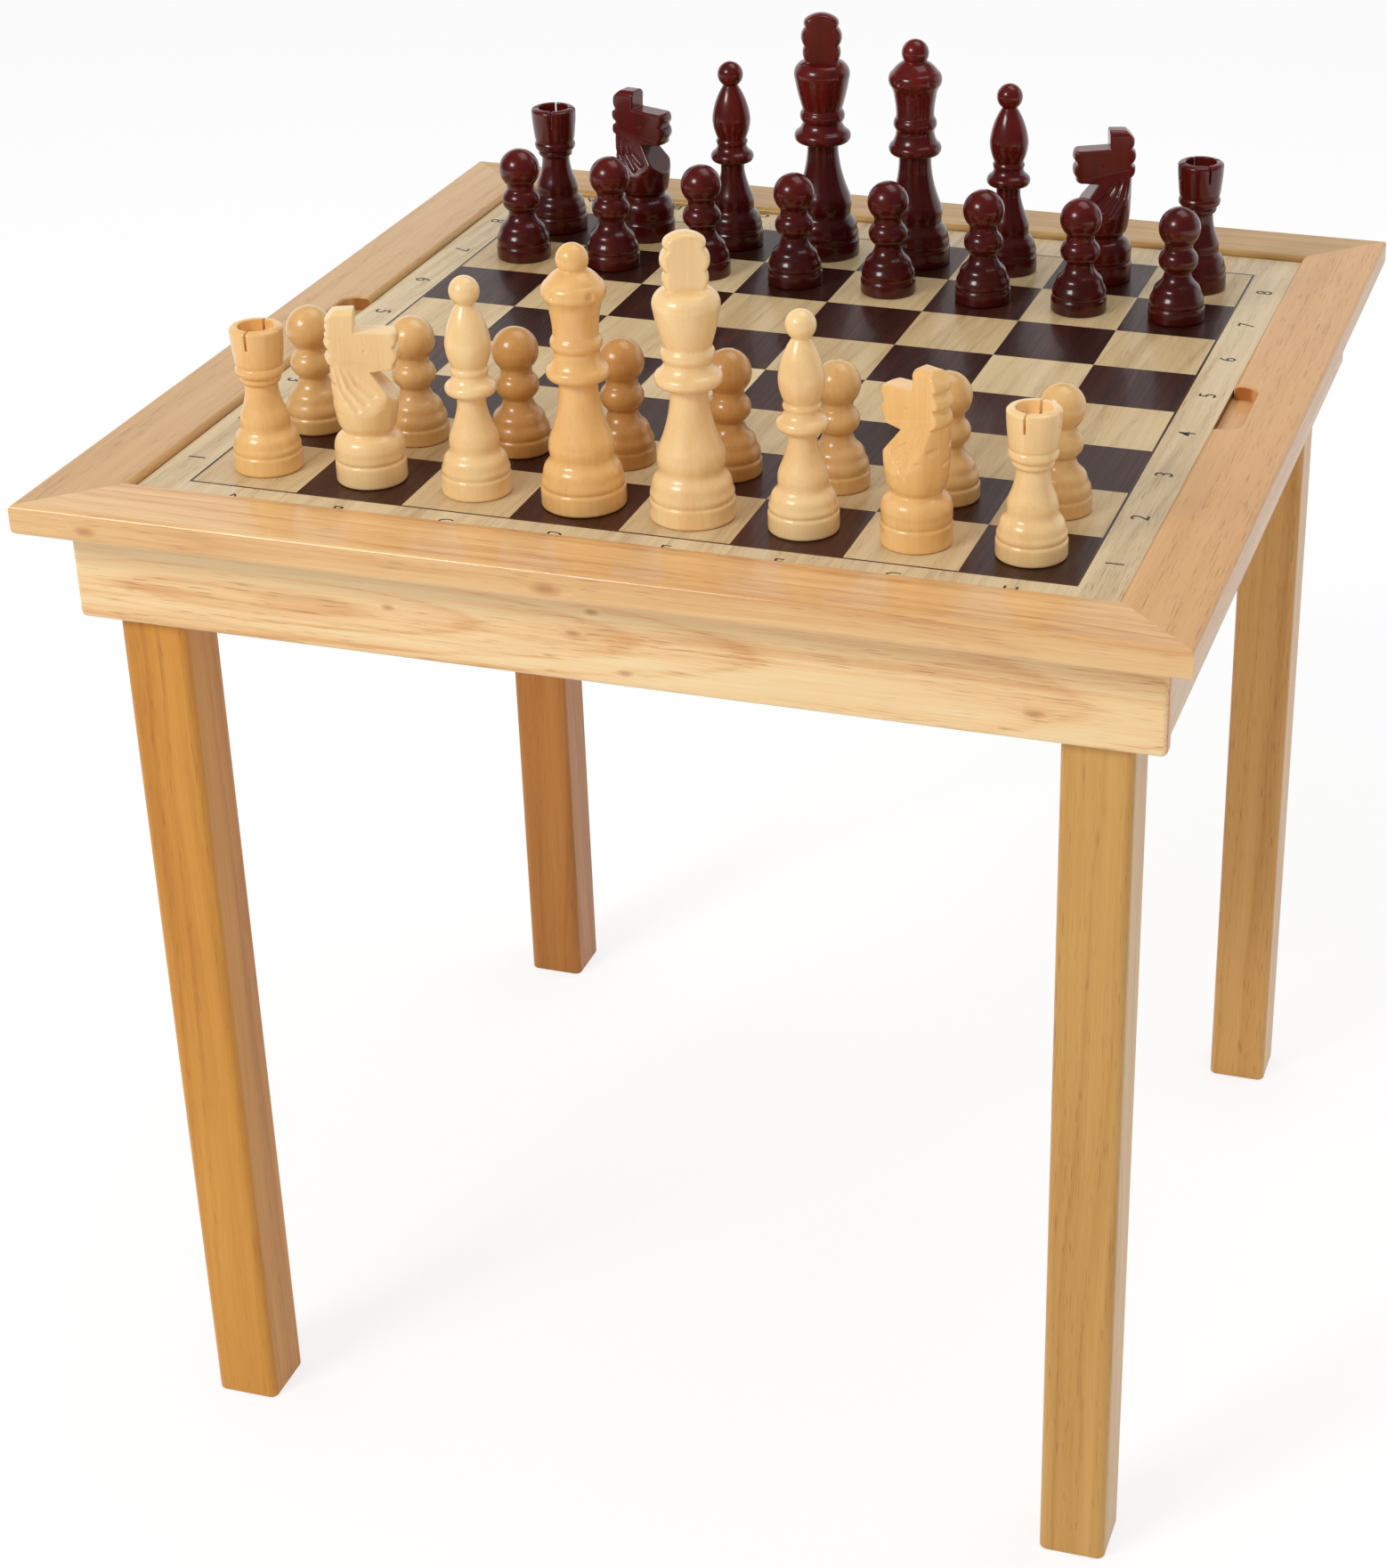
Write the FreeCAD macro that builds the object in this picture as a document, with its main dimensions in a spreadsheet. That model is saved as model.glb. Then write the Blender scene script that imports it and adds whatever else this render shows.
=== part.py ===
import FreeCAD, Part
import math
import operator
import os
import Sketcher
from FreeCAD import Placement, Rotation, Vector

# A chess table: a square mitred frame on four aprons and four bolted legs, with an inlaid board
# that lifts out of the frame's rebate and uncovers a compartment, and the 32 men of the set.
# Frame: origin on the floor under the centre of the table, +Z up, -Y the side of the light men,
# +X to the right of the player who sits there. Millimetres.

TABLE_SIZES = {
    "table_height": 500.0,
    # board, from the middle out: squares, dark line, border veneer, gap to the frame
    "square_side": 50.0,
    "line_width": 1.2,
    "border_width": 19.8,
    # how much nearer the light men the squares lie than the middle of the board
    "field_shift": 6.0,
    "board_gap": 0.5,
    "board_recess": 3.0,
    "core_thickness": 3.4,
    "veneer_thickness": 0.6,
    # frame rails: the width that shows, and the lip that runs on under the board
    "rail_width": 38.5,
    "rail_thickness": 14.0,
    "rail_lip": 8.0,
    "rail_outer_round": 2.0,
    "rail_inner_round": 2.6,
    "rail_under_round": 3.0,
    # finger notches in the side rails
    "notch_length": 55.0,
    "notch_depth": 12.5,
    "notch_corner": 7.0,
    "notch_round": 1.2,
    # aprons: how far each face stands in from the frame's edge
    "apron_height": 48.0,
    "apron_round": 2.5,
    "front_overhang": 24.0,
    "front_apron_thickness": 7.0,
    "side_overhang": 15.5,
    "side_apron_thickness": 12.5,
    "apron_end_reveal": 2.0,
    # compartment floor, let into grooves
    "floor_thickness": 4.0,
    "floor_raise": 3.0,
    "groove_depth": 3.0,
    "floor_gap": 0.3,
    # legs and the blocks that clamp them
    "leg_side": 32.0,
    "leg_round": 4.0,
    "leg_foot_round": 1.5,
    "leg_seat": 8.0,
    "block_thickness": 16.0,
    "block_height": 36.0,
    # hanger bolts, washers and nuts
    "bolt_radius": 3.0,
    "bolt_in_leg": 30.0,
    "bolt_end": 12.0,
    "thread_gap": 0.05,
    "bolt_clearance": 0.4,
    "washer_radius": 7.0,
    "washer_thickness": 1.5,
    "nut_radius": 5.8,
    "nut_thickness": 5.0,
    # wooden dowels: four across the mitres, four between the side aprons and the rails
    "dowel_radius": 3.0,
    "dowel_length": 20.0,
    "dowel_gap": 0.05,
    "mitre_dowel_inset": 20.0,
    "apron_dowel_offset": 140.0,
}

# Turned outlines of the men, from the foot up. Each stop has its rise from the stop below it,
# its radius (none on the axis) and the bow of the stretch between them, outwards when positive.
TURNINGS = {
    "pawn": {
        "foot": {"radius": 13.6},
        "edge": {"rise": 1.3, "radius": 14.2, "bow": 0.25},
        "plinth": {"rise": 5.3, "radius": 14.2},
        "crease": {"rise": 0.9, "radius": 13.3, "bow": 0.2},
        "belly": {"rise": 6.5, "radius": 12.0, "bow": 1.0},
        "shoulder": {"rise": 4.6, "radius": 10.0, "bow": 0.7},
        "neck": {"rise": 6.2, "radius": 6.7, "bow": -0.8},
        "bead": {"rise": 0.9, "radius": 7.5},
        "beadtop": {"rise": 10.2, "radius": 7.4, "bow": 2.5},
        "nape": {"rise": 3.6, "radius": 7.2, "bow": -0.3},
        "ball": {"rise": 18.1},
    },
    "rook": {
        "foot": {"radius": 14.8},
        "edge": {"rise": 1.4, "radius": 15.4, "bow": 0.25},
        "plinth": {"rise": 6.0, "radius": 15.4},
        "crease": {"rise": 1.0, "radius": 14.5, "bow": 0.2},
        "bead": {"rise": 4.0, "radius": 14.2, "bow": 0.7},
        "belly": {"rise": 4.8, "radius": 12.6, "bow": 0.55},
        "waist": {"rise": 3.0, "radius": 10.8, "bow": -0.4},
        "shoulder": {"rise": 6.8, "radius": 9.9, "bow": 0.55},
        "neck": {"rise": 10.5, "radius": 7.3, "bow": -0.5},
        "throat": {"rise": 2.3, "radius": 7.2},
        "ring": {"rise": 0.3, "radius": 8.0},
        "ringtop": {"rise": 3.4, "radius": 8.2, "bow": 0.9},
        "collar": {"rise": 0.2, "radius": 9.7},
        "collartop": {"rise": 4.6, "radius": 9.8, "bow": 1.0},
        "turret": {"rise": 0.7, "radius": 10.4},
        "wall": {"rise": 14.8, "radius": 11.7, "bow": 0.2},
        "rim": {"rise": 1.8, "radius": 10.7, "bow": 0.45},
        "mouth": {"rise": 0.4, "radius": 7.8, "bow": 0.1},
        "well": {"rise": -5.4, "radius": 7.2},
        "wellfloor": {"rise": -0.3},
    },
    "bishop": {
        "foot": {"radius": 14.8},
        "edge": {"rise": 1.4, "radius": 15.4, "bow": 0.25},
        "plinth": {"rise": 6.6, "radius": 15.4},
        "crease": {"rise": 1.1, "radius": 14.5, "bow": 0.2},
        "bead": {"rise": 4.0, "radius": 14.2, "bow": 0.7},
        "belly": {"rise": 4.6, "radius": 12.6, "bow": 0.55},
        "waist": {"rise": 2.9, "radius": 10.7, "bow": -0.4},
        "shoulder": {"rise": 7.4, "radius": 10.0, "bow": 0.6},
        "neck": {"rise": 12.0, "radius": 6.3, "bow": -0.4},
        "throat": {"rise": 5.2, "radius": 6.2},
        "collar": {"rise": 0.2, "radius": 9.8},
        "collartop": {"rise": 5.4, "radius": 9.4, "bow": 1.7},
        "slope": {"rise": 3.6, "radius": 7.6, "bow": -0.4},
        "ring": {"rise": 3.2, "radius": 7.4, "bow": 0.8},
        "mitre": {"rise": 10.4, "radius": 10.0, "bow": 0.6},
        "tip": {"rise": 17.8, "radius": 3.7, "bow": 1.2},
        "ball": {"rise": 12.2},
    },
    "queen": {
        "foot": {"radius": 17.8},
        "edge": {"rise": 1.5, "radius": 18.5, "bow": 0.3},
        "plinth": {"rise": 6.6, "radius": 18.5},
        "crease": {"rise": 1.2, "radius": 17.5, "bow": 0.25},
        "bead": {"rise": 4.6, "radius": 17.2, "bow": 0.8},
        "belly": {"rise": 5.4, "radius": 15.6, "bow": 0.6},
        "waist": {"rise": 3.2, "radius": 13.6, "bow": -0.4},
        "shoulder": {"rise": 9.5, "radius": 13.1, "bow": 0.95},
        "neck": {"rise": 21.0, "radius": 8.4, "bow": -0.9},
        "throat": {"rise": 4.5, "radius": 8.3},
        "collar": {"rise": 0.2, "radius": 12.1},
        "collartop": {"rise": 5.9, "radius": 11.9, "bow": 1.7},
        "slope": {"rise": 6.9, "radius": 9.9, "bow": -0.6},
        "ring": {"rise": 0.2, "radius": 10.1},
        "ringtop": {"rise": 6.3, "radius": 9.8, "bow": 1.3},
        "crown": {"rise": 11.0, "radius": 10.9, "bow": -0.3},
        "flare": {"rise": 6.0, "radius": 13.3, "bow": -0.5},
        "rim": {"rise": 6.2, "radius": 12.6, "bow": 0.9},
        "step": {"rise": 0.4, "radius": 11.9},
        "dome": {"rise": 5.4, "radius": 5.7, "bow": 0.6},
        "ball": {"rise": 11.1},
    },
    "king": {
        "foot": {"radius": 17.9},
        "edge": {"rise": 1.5, "radius": 18.7, "bow": 0.3},
        "plinth": {"rise": 6.5, "radius": 18.7},
        "crease": {"rise": 1.2, "radius": 17.7, "bow": 0.25},
        "bead": {"rise": 4.6, "radius": 17.4, "bow": 0.8},
        "belly": {"rise": 5.5, "radius": 15.8, "bow": 0.6},
        "waist": {"rise": 3.2, "radius": 14.0, "bow": -0.4},
        "shoulder": {"rise": 10.5, "radius": 13.5, "bow": 1.05},
        "neck": {"rise": 22.0, "radius": 8.1, "bow": -0.9},
        "throat": {"rise": 5.0, "radius": 8.0},
        "collar": {"rise": 0.2, "radius": 13.0},
        "collartop": {"rise": 6.0, "radius": 12.7, "bow": 1.9},
        "slope": {"rise": 4.3, "radius": 10.2, "bow": -0.4},
        "ring": {"rise": 0.2, "radius": 10.4},
        "ringtop": {"rise": 6.4, "radius": 10.2, "bow": 1.4},
        "urn": {"rise": 16.4, "radius": 14.2, "bow": 0.3},
        "brow": {"rise": 7.3, "radius": 12.2, "bow": 1.1},
        "crest": {"rise": 1.7, "radius": 8.6, "bow": 0.3},
        "lowlobe": {"rise": 7.8, "radius": 9.0, "bow": 1.1},
        "middlelobe": {"rise": 9.6, "radius": 8.4, "bow": 1.9},
        "highlobe": {"rise": 4.5, "radius": 7.8, "bow": 1.0},
        "dome": {"rise": 2.6},
    },
    "knight": {
        "foot": {"radius": 15.0},
        "edge": {"rise": 1.4, "radius": 15.6, "bow": 0.25},
        "plinth": {"rise": 7.6, "radius": 15.6},
        "crease": {"rise": 1.2, "radius": 14.7, "bow": 0.2},
        "bead": {"rise": 4.2, "radius": 14.6, "bow": 0.7},
        "belly": {"rise": 8.0, "radius": 12.2, "bow": 1.5},
        "groove": {"rise": 1.6, "radius": 10.7, "bow": -0.3},
        "chest": {"rise": 3.6, "radius": 12.9, "bow": 0.4},
        "body": {"rise": 10.4, "radius": 14.2, "bow": 0.2},
        "nape": {"rise": 16.3, "radius": 14.4},
        "lowmane": {"rise": 7.4, "radius": 14.6, "bow": 1.6},
        "middlemane": {"rise": 7.3, "radius": 14.6, "bow": 1.6},
        "highmane": {"rise": 9.5, "radius": 13.2, "bow": 1.3},
        "crown": {"rise": 0.4},
    },
}

# Men whose last stretch is an arc about their own axis.
DOMED = ["pawn", "bishop", "queen", "king"]

# Sizes of what is cut out of the turned men.
CARVING_SIZES = {
    "slit_width": 0.8,
    "slit_depth": 8.5,
    "dimple_radius": 2.6,
    "dimple_height": 97.0,
    "dimple_inset": 0.9,
    "finial_thickness": 10.0,
    "finial_foot": 101.8,
    "head_thickness": 11.6,
    "head_foot": 56.0,
    "flare_half": 14.6,
    "flare_foot": 33.5,
    "ear_front": -2.6,
    "poll_height": 69.0,
    "jaw_height": 52.4,
    "throat_front": 3.4,
    "throat_height": 51.4,
    "breast_front": 14.0,
    "breast_height": 36.8,
    "cut_reach": 20.0,
    "cut_top": 130.0,
}

# The ring of dimples in the queen's crown: how many, and the turn of the first about +Z.
DIMPLE_COUNT = 5
FIRST_DIMPLE_TURN = -39

SQUARES_A_SIDE = 8
FILES = "abcdefgh"
BACK_RANKS = {
    "light": ["rook", "knight", "bishop", "queen", "king", "bishop", "knight", "rook"],
    "dark": ["rook", "knight", "bishop", "king", "queen", "bishop", "knight", "rook"],
}
BACK_ROW = {"light": 0, "dark": SQUARES_A_SIDE - 1}
PAWN_ROW = {"light": 1, "dark": SQUARES_A_SIDE - 2}

# How the men that aren't round stand on their squares: the turn of each about +Z. A knight at 0
# faces +X, a king at 0 has the broad faces of its finial along X.
TURNS = {
    "light_rook_a": 1,
    "light_rook_h": -7,
    "light_knight_b": 20,
    "light_knight_g": 155,
    "light_king": 30,
    "dark_rook_a": 13,
    "dark_rook_h": 35,
    "dark_knight_b": -12,
    "dark_knight_g": 200,
    "dark_king": 17,
}

# The four corners of the table: name, side of X, side of Y and turn of the leg about +Z.
CORNERS = [
    ("front_left", -1, -1, 0),
    ("front_right", 1, -1, 90),
    ("back_right", 1, 1, 180),
    ("back_left", -1, 1, 270),
]

NUT_SIDES = 6

HALF_ROOT = math.sqrt(0.5)

# Two coordinates nearer than this are the same.
NEAR = 1e-4

# How a sketch's rules number the points of a segment, its own axes and its origin.
START = 1
END = 2
CENTRE = 3
LEVEL_AXIS = -1
UPRIGHT_AXIS = -2

ARITHMETIC = {
    "+": operator.add,
    "-": operator.sub,
    "*": operator.mul,
    "/": operator.truediv,
}


class Size:
    """A number from the sheet, or worked out from it, with the expression that yields it."""

    def __init__(self, value, text):
        self.value = value
        self.text = text

    def __add__(self, other):
        return join(self, "+", other)

    def __radd__(self, other):
        return join(other, "+", self)

    def __sub__(self, other):
        return join(self, "-", other)

    def __rsub__(self, other):
        return join(other, "-", self)

    def __mul__(self, other):
        return join(self, "*", other)

    def __rmul__(self, other):
        return join(other, "*", self)

    def __truediv__(self, other):
        return join(self, "/", other)

    def __neg__(self):
        return join(-1, "*", self)

    def magnitude(self):
        return Size(abs(self.value), "abs(%s)" % self.text)


def as_size(number):
    if isinstance(number, Size):
        return number
    return Size(float(number), repr(float(number)))


def join(left, sign, right):
    left = as_size(left)
    right = as_size(right)
    value = ARITHMETIC[sign](left.value, right.value)
    return Size(value, "(%s %s %s)" % (left.text, sign, right.text))


def make_sheet():
    """Write every driving size into the sheet and return the sizes by name."""
    sheet = doc.addObject("Spreadsheet::Sheet", "Sizes")
    numbers = dict(TABLE_SIZES)
    for piece, stops in TURNINGS.items():
        for stop, sizes in stops.items():
            for kind, number in sizes.items():
                numbers["%s_%s_%s" % (piece, stop, kind)] = number
    numbers.update(CARVING_SIZES)
    for row, (name, number) in enumerate(numbers.items(), start=1):
        sheet.set("A%d" % row, name)
        sheet.set("B%d" % row, str(number))
        sheet.setAlias("B%d" % row, name)
    doc.recompute()
    return {name: Size(float(sheet.get(name)), "Sizes." + name) for name in numbers}


def bind(target, prop, size):
    target.setExpression(prop, size.text)


def place(target, x=0, y=0, z=0, rotation=Rotation()):
    """Place an object: numbers stay as they are and sizes are bound to the sheet."""
    at = [as_size(coordinate).value for coordinate in (x, y, z)]
    target.Placement = Placement(Vector(*at), rotation)
    for axis, coordinate in zip("xyz", (x, y, z)):
        if isinstance(coordinate, Size):
            bind(target, "Placement.Base." + axis, coordinate)


def about_z(angle):
    return Rotation(Vector(0, 0, 1), angle)


def pointing(x, y):
    """The rotation that lays an upright cylinder along a level direction."""
    return Rotation(Vector(0, 0, 1), Vector(x, y, 0))


# Sketches

def arc_middle(start, end, bow):
    """The middle of a bowed stretch that bows to the right of its direction."""
    along = end - start
    right = Vector(along.y, -along.x, 0).normalize()
    return (start + end) * 0.5 + right * bow


def dome_middle(start, top):
    """The middle of a round top whose centre lies on the sketch's vertical axis."""
    rise = top.y - start.y
    girth = (start.x * start.x + rise * rise) / (2 * rise)
    centre = Vector(0, top.y - girth, 0)
    return centre + (start + top - centre * 2).normalize() * girth


def arc_radius(start, end, bow):
    run_x = end[0] - start[0]
    run_y = end[1] - start[1]
    quarter_chord_squared = (run_x * run_x + run_y * run_y) / 4
    return (quarter_chord_squared + bow * bow) / (2 * bow.magnitude())


def fix_point(sketch, segment, end, corner):
    """Hold one end of a segment at a corner whose coordinates come from the sheet."""
    rules = (("DistanceX", UPRIGHT_AXIS, corner[0]), ("DistanceY", LEVEL_AXIS, corner[1]))
    for kind, axis, coordinate in rules:
        if isinstance(coordinate, Size):
            rule = Sketcher.Constraint(kind, LEVEL_AXIS, START, segment, end, coordinate.value)
            index = sketch.addConstraint(rule)
            bind(sketch, "Constraints[%d]" % index, coordinate)
        else:
            sketch.addConstraint(Sketcher.Constraint("PointOnObject", segment, end, axis))


def draw_outline(sketch, corners, bows=None, dome=None):
    """Draw a closed outline through corners; a stretch with a bow is an arc, the rest are lines.

    Each corner is a pair of sizes, or 0 for a coordinate that lies on an axis of the sketch.
    bows holds, for each corner by number, the bow of the stretch that ends there. The stretch
    that ends at the corner numbered dome is an arc about the vertical axis.
    """
    bows = bows or {}
    points = [Vector(as_size(x).value, as_size(y).value, 0) for x, y in corners]
    count = len(corners)
    shapes = []
    for index, start in enumerate(points):
        following = (index + 1) % count
        end = points[following]
        if following == dome:
            shapes.append(Part.Arc(start, dome_middle(start, end), end))
        elif following in bows:
            shapes.append(Part.Arc(start, arc_middle(start, end, bows[following].value), end))
        else:
            shapes.append(Part.LineSegment(start, end))
    segments = sketch.addGeometry(shapes, False)
    starts = []
    for segment, point in zip(segments, points):
        near_first = sketch.getPoint(segment, START).distanceToPoint(point)
        near_last = sketch.getPoint(segment, END).distanceToPoint(point)
        starts.append(START if near_first <= near_last else END)
    for index, segment in enumerate(segments):
        following = (index + 1) % count
        end = END if starts[index] == START else START
        meeting = (segments[following], starts[following])
        sketch.addConstraint(Sketcher.Constraint("Coincident", segment, end, *meeting))
        fix_point(sketch, segment, starts[index], corners[index])
        if following == dome:
            sketch.addConstraint(Sketcher.Constraint("PointOnObject", segment, CENTRE, UPRIGHT_AXIS))
        elif following in bows:
            radius = arc_radius(corners[index], corners[following], bows[following])
            rule = Sketcher.Constraint("Radius", segment, radius.value)
            number = sketch.addConstraint(rule)
            bind(sketch, "Constraints[%d]" % number, radius)


def rectangle(left, near, right, far):
    return [(left, near), (right, near), (right, far), (left, far)]


# PartDesign bodies

def new_body(name):
    body = doc.addObject("PartDesign::Body", name)
    body.Label = name
    return body


def new_sketch(body, name, lift=None):
    """A sketch on the body's own level plane, raised by lift."""
    sketch = body.newObject("Sketcher::SketchObject", name)
    planes = {feature.Role: feature for feature in body.Origin.OriginFeatures}
    sketch.AttachmentSupport = [(planes["XY_Plane"], "")]
    sketch.MapMode = "FlatFace"
    if lift is not None:
        bind(sketch, "AttachmentOffset.Base.z", lift)
    return sketch


def add_pad(body, sketch, name, height):
    pad = body.newObject("PartDesign::Pad", name)
    pad.Profile = sketch
    bind(pad, "Length", height)
    doc.recompute()
    return pad


def add_pocket(body, sketch, name, depth):
    pocket = body.newObject("PartDesign::Pocket", name)
    pocket.Profile = sketch
    bind(pocket, "Length", depth)
    doc.recompute()
    return pocket


def add_fillet(body, name, radius, wanted):
    """Round the edges of the body that wanted accepts."""
    base = body.Tip
    edges = ["Edge%d" % number for number, edge in enumerate(base.Shape.Edges, start=1) if wanted(edge)]
    fillet = body.newObject("PartDesign::Fillet", name)
    fillet.Base = (base, edges)
    bind(fillet, "Radius", radius)
    doc.recompute()
    return fillet


def add_hole(body, name, radius, length, x, y, z, rotation=Rotation()):
    hole = body.newObject("PartDesign::SubtractiveCylinder", name)
    bind(hole, "Radius", radius)
    bind(hole, "Height", length)
    place(hole, x, y, z, rotation)
    doc.recompute()
    return hole


def add_groove(body, name, length, width, height, x, y, z):
    groove = body.newObject("PartDesign::SubtractiveBox", name)
    bind(groove, "Length", length)
    bind(groove, "Width", width)
    bind(groove, "Height", height)
    place(groove, x, y, z)
    doc.recompute()
    return groove


def edge_at(y=None, z=None, upright=False):
    """A test for straight edges along X, or upright ones, at a given y or z."""
    def wanted(edge):
        box = edge.BoundBox
        run = box.ZLength if upright else box.XLength
        across = box.XLength if upright else box.ZLength
        if run < NEAR or across > NEAR or box.YLength > NEAR:
            return False
        at_y = y is None or abs(box.YMin - y.value) < NEAR
        at_z = z is None or abs(box.ZMin - as_size(z).value) < NEAR
        return at_y and at_z
    return wanted


def edge_of_foot(edge):
    return edge.BoundBox.ZMax < NEAR


# Table pieces

def make_rail(name, angle, notched):
    """A mitred frame rail along local X with its outer edge at local y = -frame_half."""
    body = new_body(name)
    half = frame_half
    inner = -half + s["rail_width"]
    lip = inner + s["rail_lip"]
    plan = new_sketch(body, name + "_plan")
    draw_outline(plan, [(-half, -half), (half, -half), (-lip, lip), (lip, lip)])
    add_pad(body, plan, name + "_plank", s["rail_thickness"])
    rebate = new_sketch(body, name + "_rebate_plan", s["rail_thickness"])
    draw_outline(rebate, rectangle(-half, inner, half, lip))
    add_pocket(body, rebate, name + "_rebate", rebate_depth)
    top = s["rail_thickness"]
    add_fillet(body, name + "_inner_round", s["rail_inner_round"], edge_at(y=inner, z=top))
    if notched:
        notch_wall = inner - s["notch_depth"]
        notch_end = s["notch_length"] / 2
        notch = new_sketch(body, name + "_notch_plan", s["rail_thickness"])
        draw_outline(notch, rectangle(-notch_end, notch_wall, notch_end, inner))
        add_pocket(body, notch, name + "_notch", rebate_depth)
        add_fillet(body, name + "_notch_corners", s["notch_corner"], edge_at(y=notch_wall, upright=True))
        add_fillet(body, name + "_notch_round", s["notch_round"], edge_at(y=notch_wall, z=top))
    add_fillet(body, name + "_outer_round", s["rail_outer_round"], edge_at(y=-half, z=top))
    add_fillet(body, name + "_under_round", s["rail_under_round"], edge_at(y=-half, z=0))
    at_y = s["mitre_dowel_inset"] - mitre_dowel_reach - half
    for side, word in ((-1, "left"), (1, "right")):
        at_x = side * (half - s["mitre_dowel_inset"] - mitre_dowel_reach)
        hole_name = "%s_%s_dowel_hole" % (name, word)
        add_hole(body, hole_name, dowel_hole, s["dowel_length"], at_x, at_y, top / 2,
                 pointing(side, 1))
        if notched:
            at_x = side * s["apron_dowel_offset"]
            hole_name = "%s_%s_apron_dowel_hole" % (name, word)
            add_hole(body, hole_name, dowel_hole, s["dowel_length"] / 2, at_x, -side_apron_middle, 0)
    place(body, z=rail_floor, rotation=about_z(angle))
    pieces.append(body)


def make_apron(name, half_length, face, thickness, angle, groove_half, doweled):
    """An apron along local X with its outer face at local y = -face."""
    body = new_body(name)
    inner = thickness - face
    plan = new_sketch(body, name + "_plan")
    draw_outline(plan, rectangle(-half_length, -face, half_length, inner))
    add_pad(body, plan, name + "_plank", s["apron_height"])
    groove_name = name + "_floor_groove"
    groove_y = inner - s["groove_depth"]
    add_groove(body, groove_name, 2 * groove_half, s["groove_depth"], s["floor_thickness"],
               -groove_half, groove_y, s["floor_raise"])
    add_fillet(body, name + "_lower_round", s["apron_round"], edge_at(y=-face, z=0))
    if doweled:
        for side, word in ((-1, "left"), (1, "right")):
            at_x = side * s["apron_dowel_offset"]
            at_z = s["apron_height"] - s["dowel_length"] / 2
            hole_name = "%s_%s_dowel_hole" % (name, word)
            add_hole(body, hole_name, dowel_hole, s["dowel_length"] / 2, at_x, -side_apron_middle, at_z)
    else:
        add_fillet(body, name + "_end_round", s["apron_round"], edge_at(y=-face, upright=True))
    place(body, z=apron_floor, rotation=about_z(angle))
    pieces.append(body)


def make_leg(name, side_x, side_y, angle):
    """A leg centred on local X and Y, with its inner corner towards local +X +Y."""
    body = new_body(name)
    half = s["leg_side"] / 2
    plan = new_sketch(body, name + "_plan")
    draw_outline(plan, rectangle(-half, -half, half, half))
    add_pad(body, plan, name + "_post", rail_floor)
    add_fillet(body, name + "_edges", s["leg_round"], edge_at(upright=True))
    seat = new_sketch(body, name + "_seat_plan", rail_floor)
    draw_outline(seat, [(half - s["leg_seat"], half), (half, half - s["leg_seat"]), (half, half)])
    add_pocket(body, seat, name + "_seat", s["apron_height"])
    add_fillet(body, name + "_foot_round", s["leg_foot_round"], edge_of_foot)
    start = (seat_distance - s["bolt_in_leg"]) * HALF_ROOT
    hole = s["bolt_radius"] + s["thread_gap"]
    add_hole(body, name + "_bolt_hole", hole, s["bolt_in_leg"], start, start, bolt_height, pointing(1, 1))
    place(body, side_x * leg_x, side_y * leg_y, 0, about_z(angle))
    pieces.append(body)


def make_block(name, side_x, side_y, angle):
    """The diagonal block that joins two aprons inside a leg and clamps the leg's bolt."""
    body = new_body(name)
    wall = -s["leg_side"] / 2
    near = 1.5 * s["leg_side"] - s["leg_seat"]
    far = near + s["block_thickness"] / HALF_ROOT
    plan = new_sketch(body, name + "_plan")
    draw_outline(plan, [(near, wall), (far, wall), (wall, far), (wall, near)])
    add_pad(body, plan, name + "_wedge", s["block_height"])
    start = seat_distance * HALF_ROOT
    hole = s["bolt_radius"] + s["bolt_clearance"]
    add_hole(body, name + "_bolt_hole", hole, s["block_thickness"], start, start,
             s["block_height"] / 2, pointing(1, 1))
    place(body, side_x * leg_x, side_y * leg_y, rail_floor - s["block_height"], about_z(angle))
    pieces.append(body)


def make_floor():
    """The compartment floor: let into the aprons and cut back around the legs."""
    body = new_body("floor_panel")
    wide = leg_face_x + s["groove_depth"] - s["floor_gap"]
    deep = leg_face_y + s["groove_depth"] - s["floor_gap"]
    leg_inner_x = leg_face_x - s["leg_side"] - s["floor_gap"]
    leg_inner_y = leg_face_y - s["leg_side"] - s["floor_gap"]
    quarter = [(leg_inner_x, deep), (leg_inner_x, leg_inner_y), (wide, leg_inner_y)]
    corners = []
    for side_x, side_y in ((1, 1), (1, -1), (-1, -1), (-1, 1)):
        turned = [(side_x * x, side_y * y) for x, y in quarter]
        corners += turned if side_x == side_y else turned[::-1]
    plan = new_sketch(body, "floor_panel_plan")
    draw_outline(plan, corners)
    add_pad(body, plan, "floor_panel_sheet", s["floor_thickness"])
    place(body, z=apron_floor + s["floor_raise"])
    pieces.append(body)


def make_core():
    body = new_body("board_core")
    plan = new_sketch(body, "board_core_plan")
    draw_outline(plan, rectangle(-board_half, -board_half, board_half, board_half))
    add_pad(body, plan, "board_core_sheet", s["core_thickness"])
    place(body, z=board_floor)
    pieces.append(body)


def make_ring(name, outer, outer_shift, inner):
    """A flat square veneer ring on the board, between two half widths; its hole lies off centre."""
    body = new_body(name)
    plan = new_sketch(body, name + "_plan")
    draw_outline(plan, rectangle(-outer, -outer - outer_shift, outer, outer - outer_shift))
    add_pad(body, plan, name + "_sheet", s["veneer_thickness"])
    middle = new_sketch(body, name + "_middle_plan", s["veneer_thickness"])
    shift = s["field_shift"]
    draw_outline(middle, rectangle(-inner, -inner - shift, inner, inner - shift))
    add_pocket(body, middle, name + "_middle", s["veneer_thickness"])
    place(body, z=veneer_floor)
    pieces.append(body)


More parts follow.
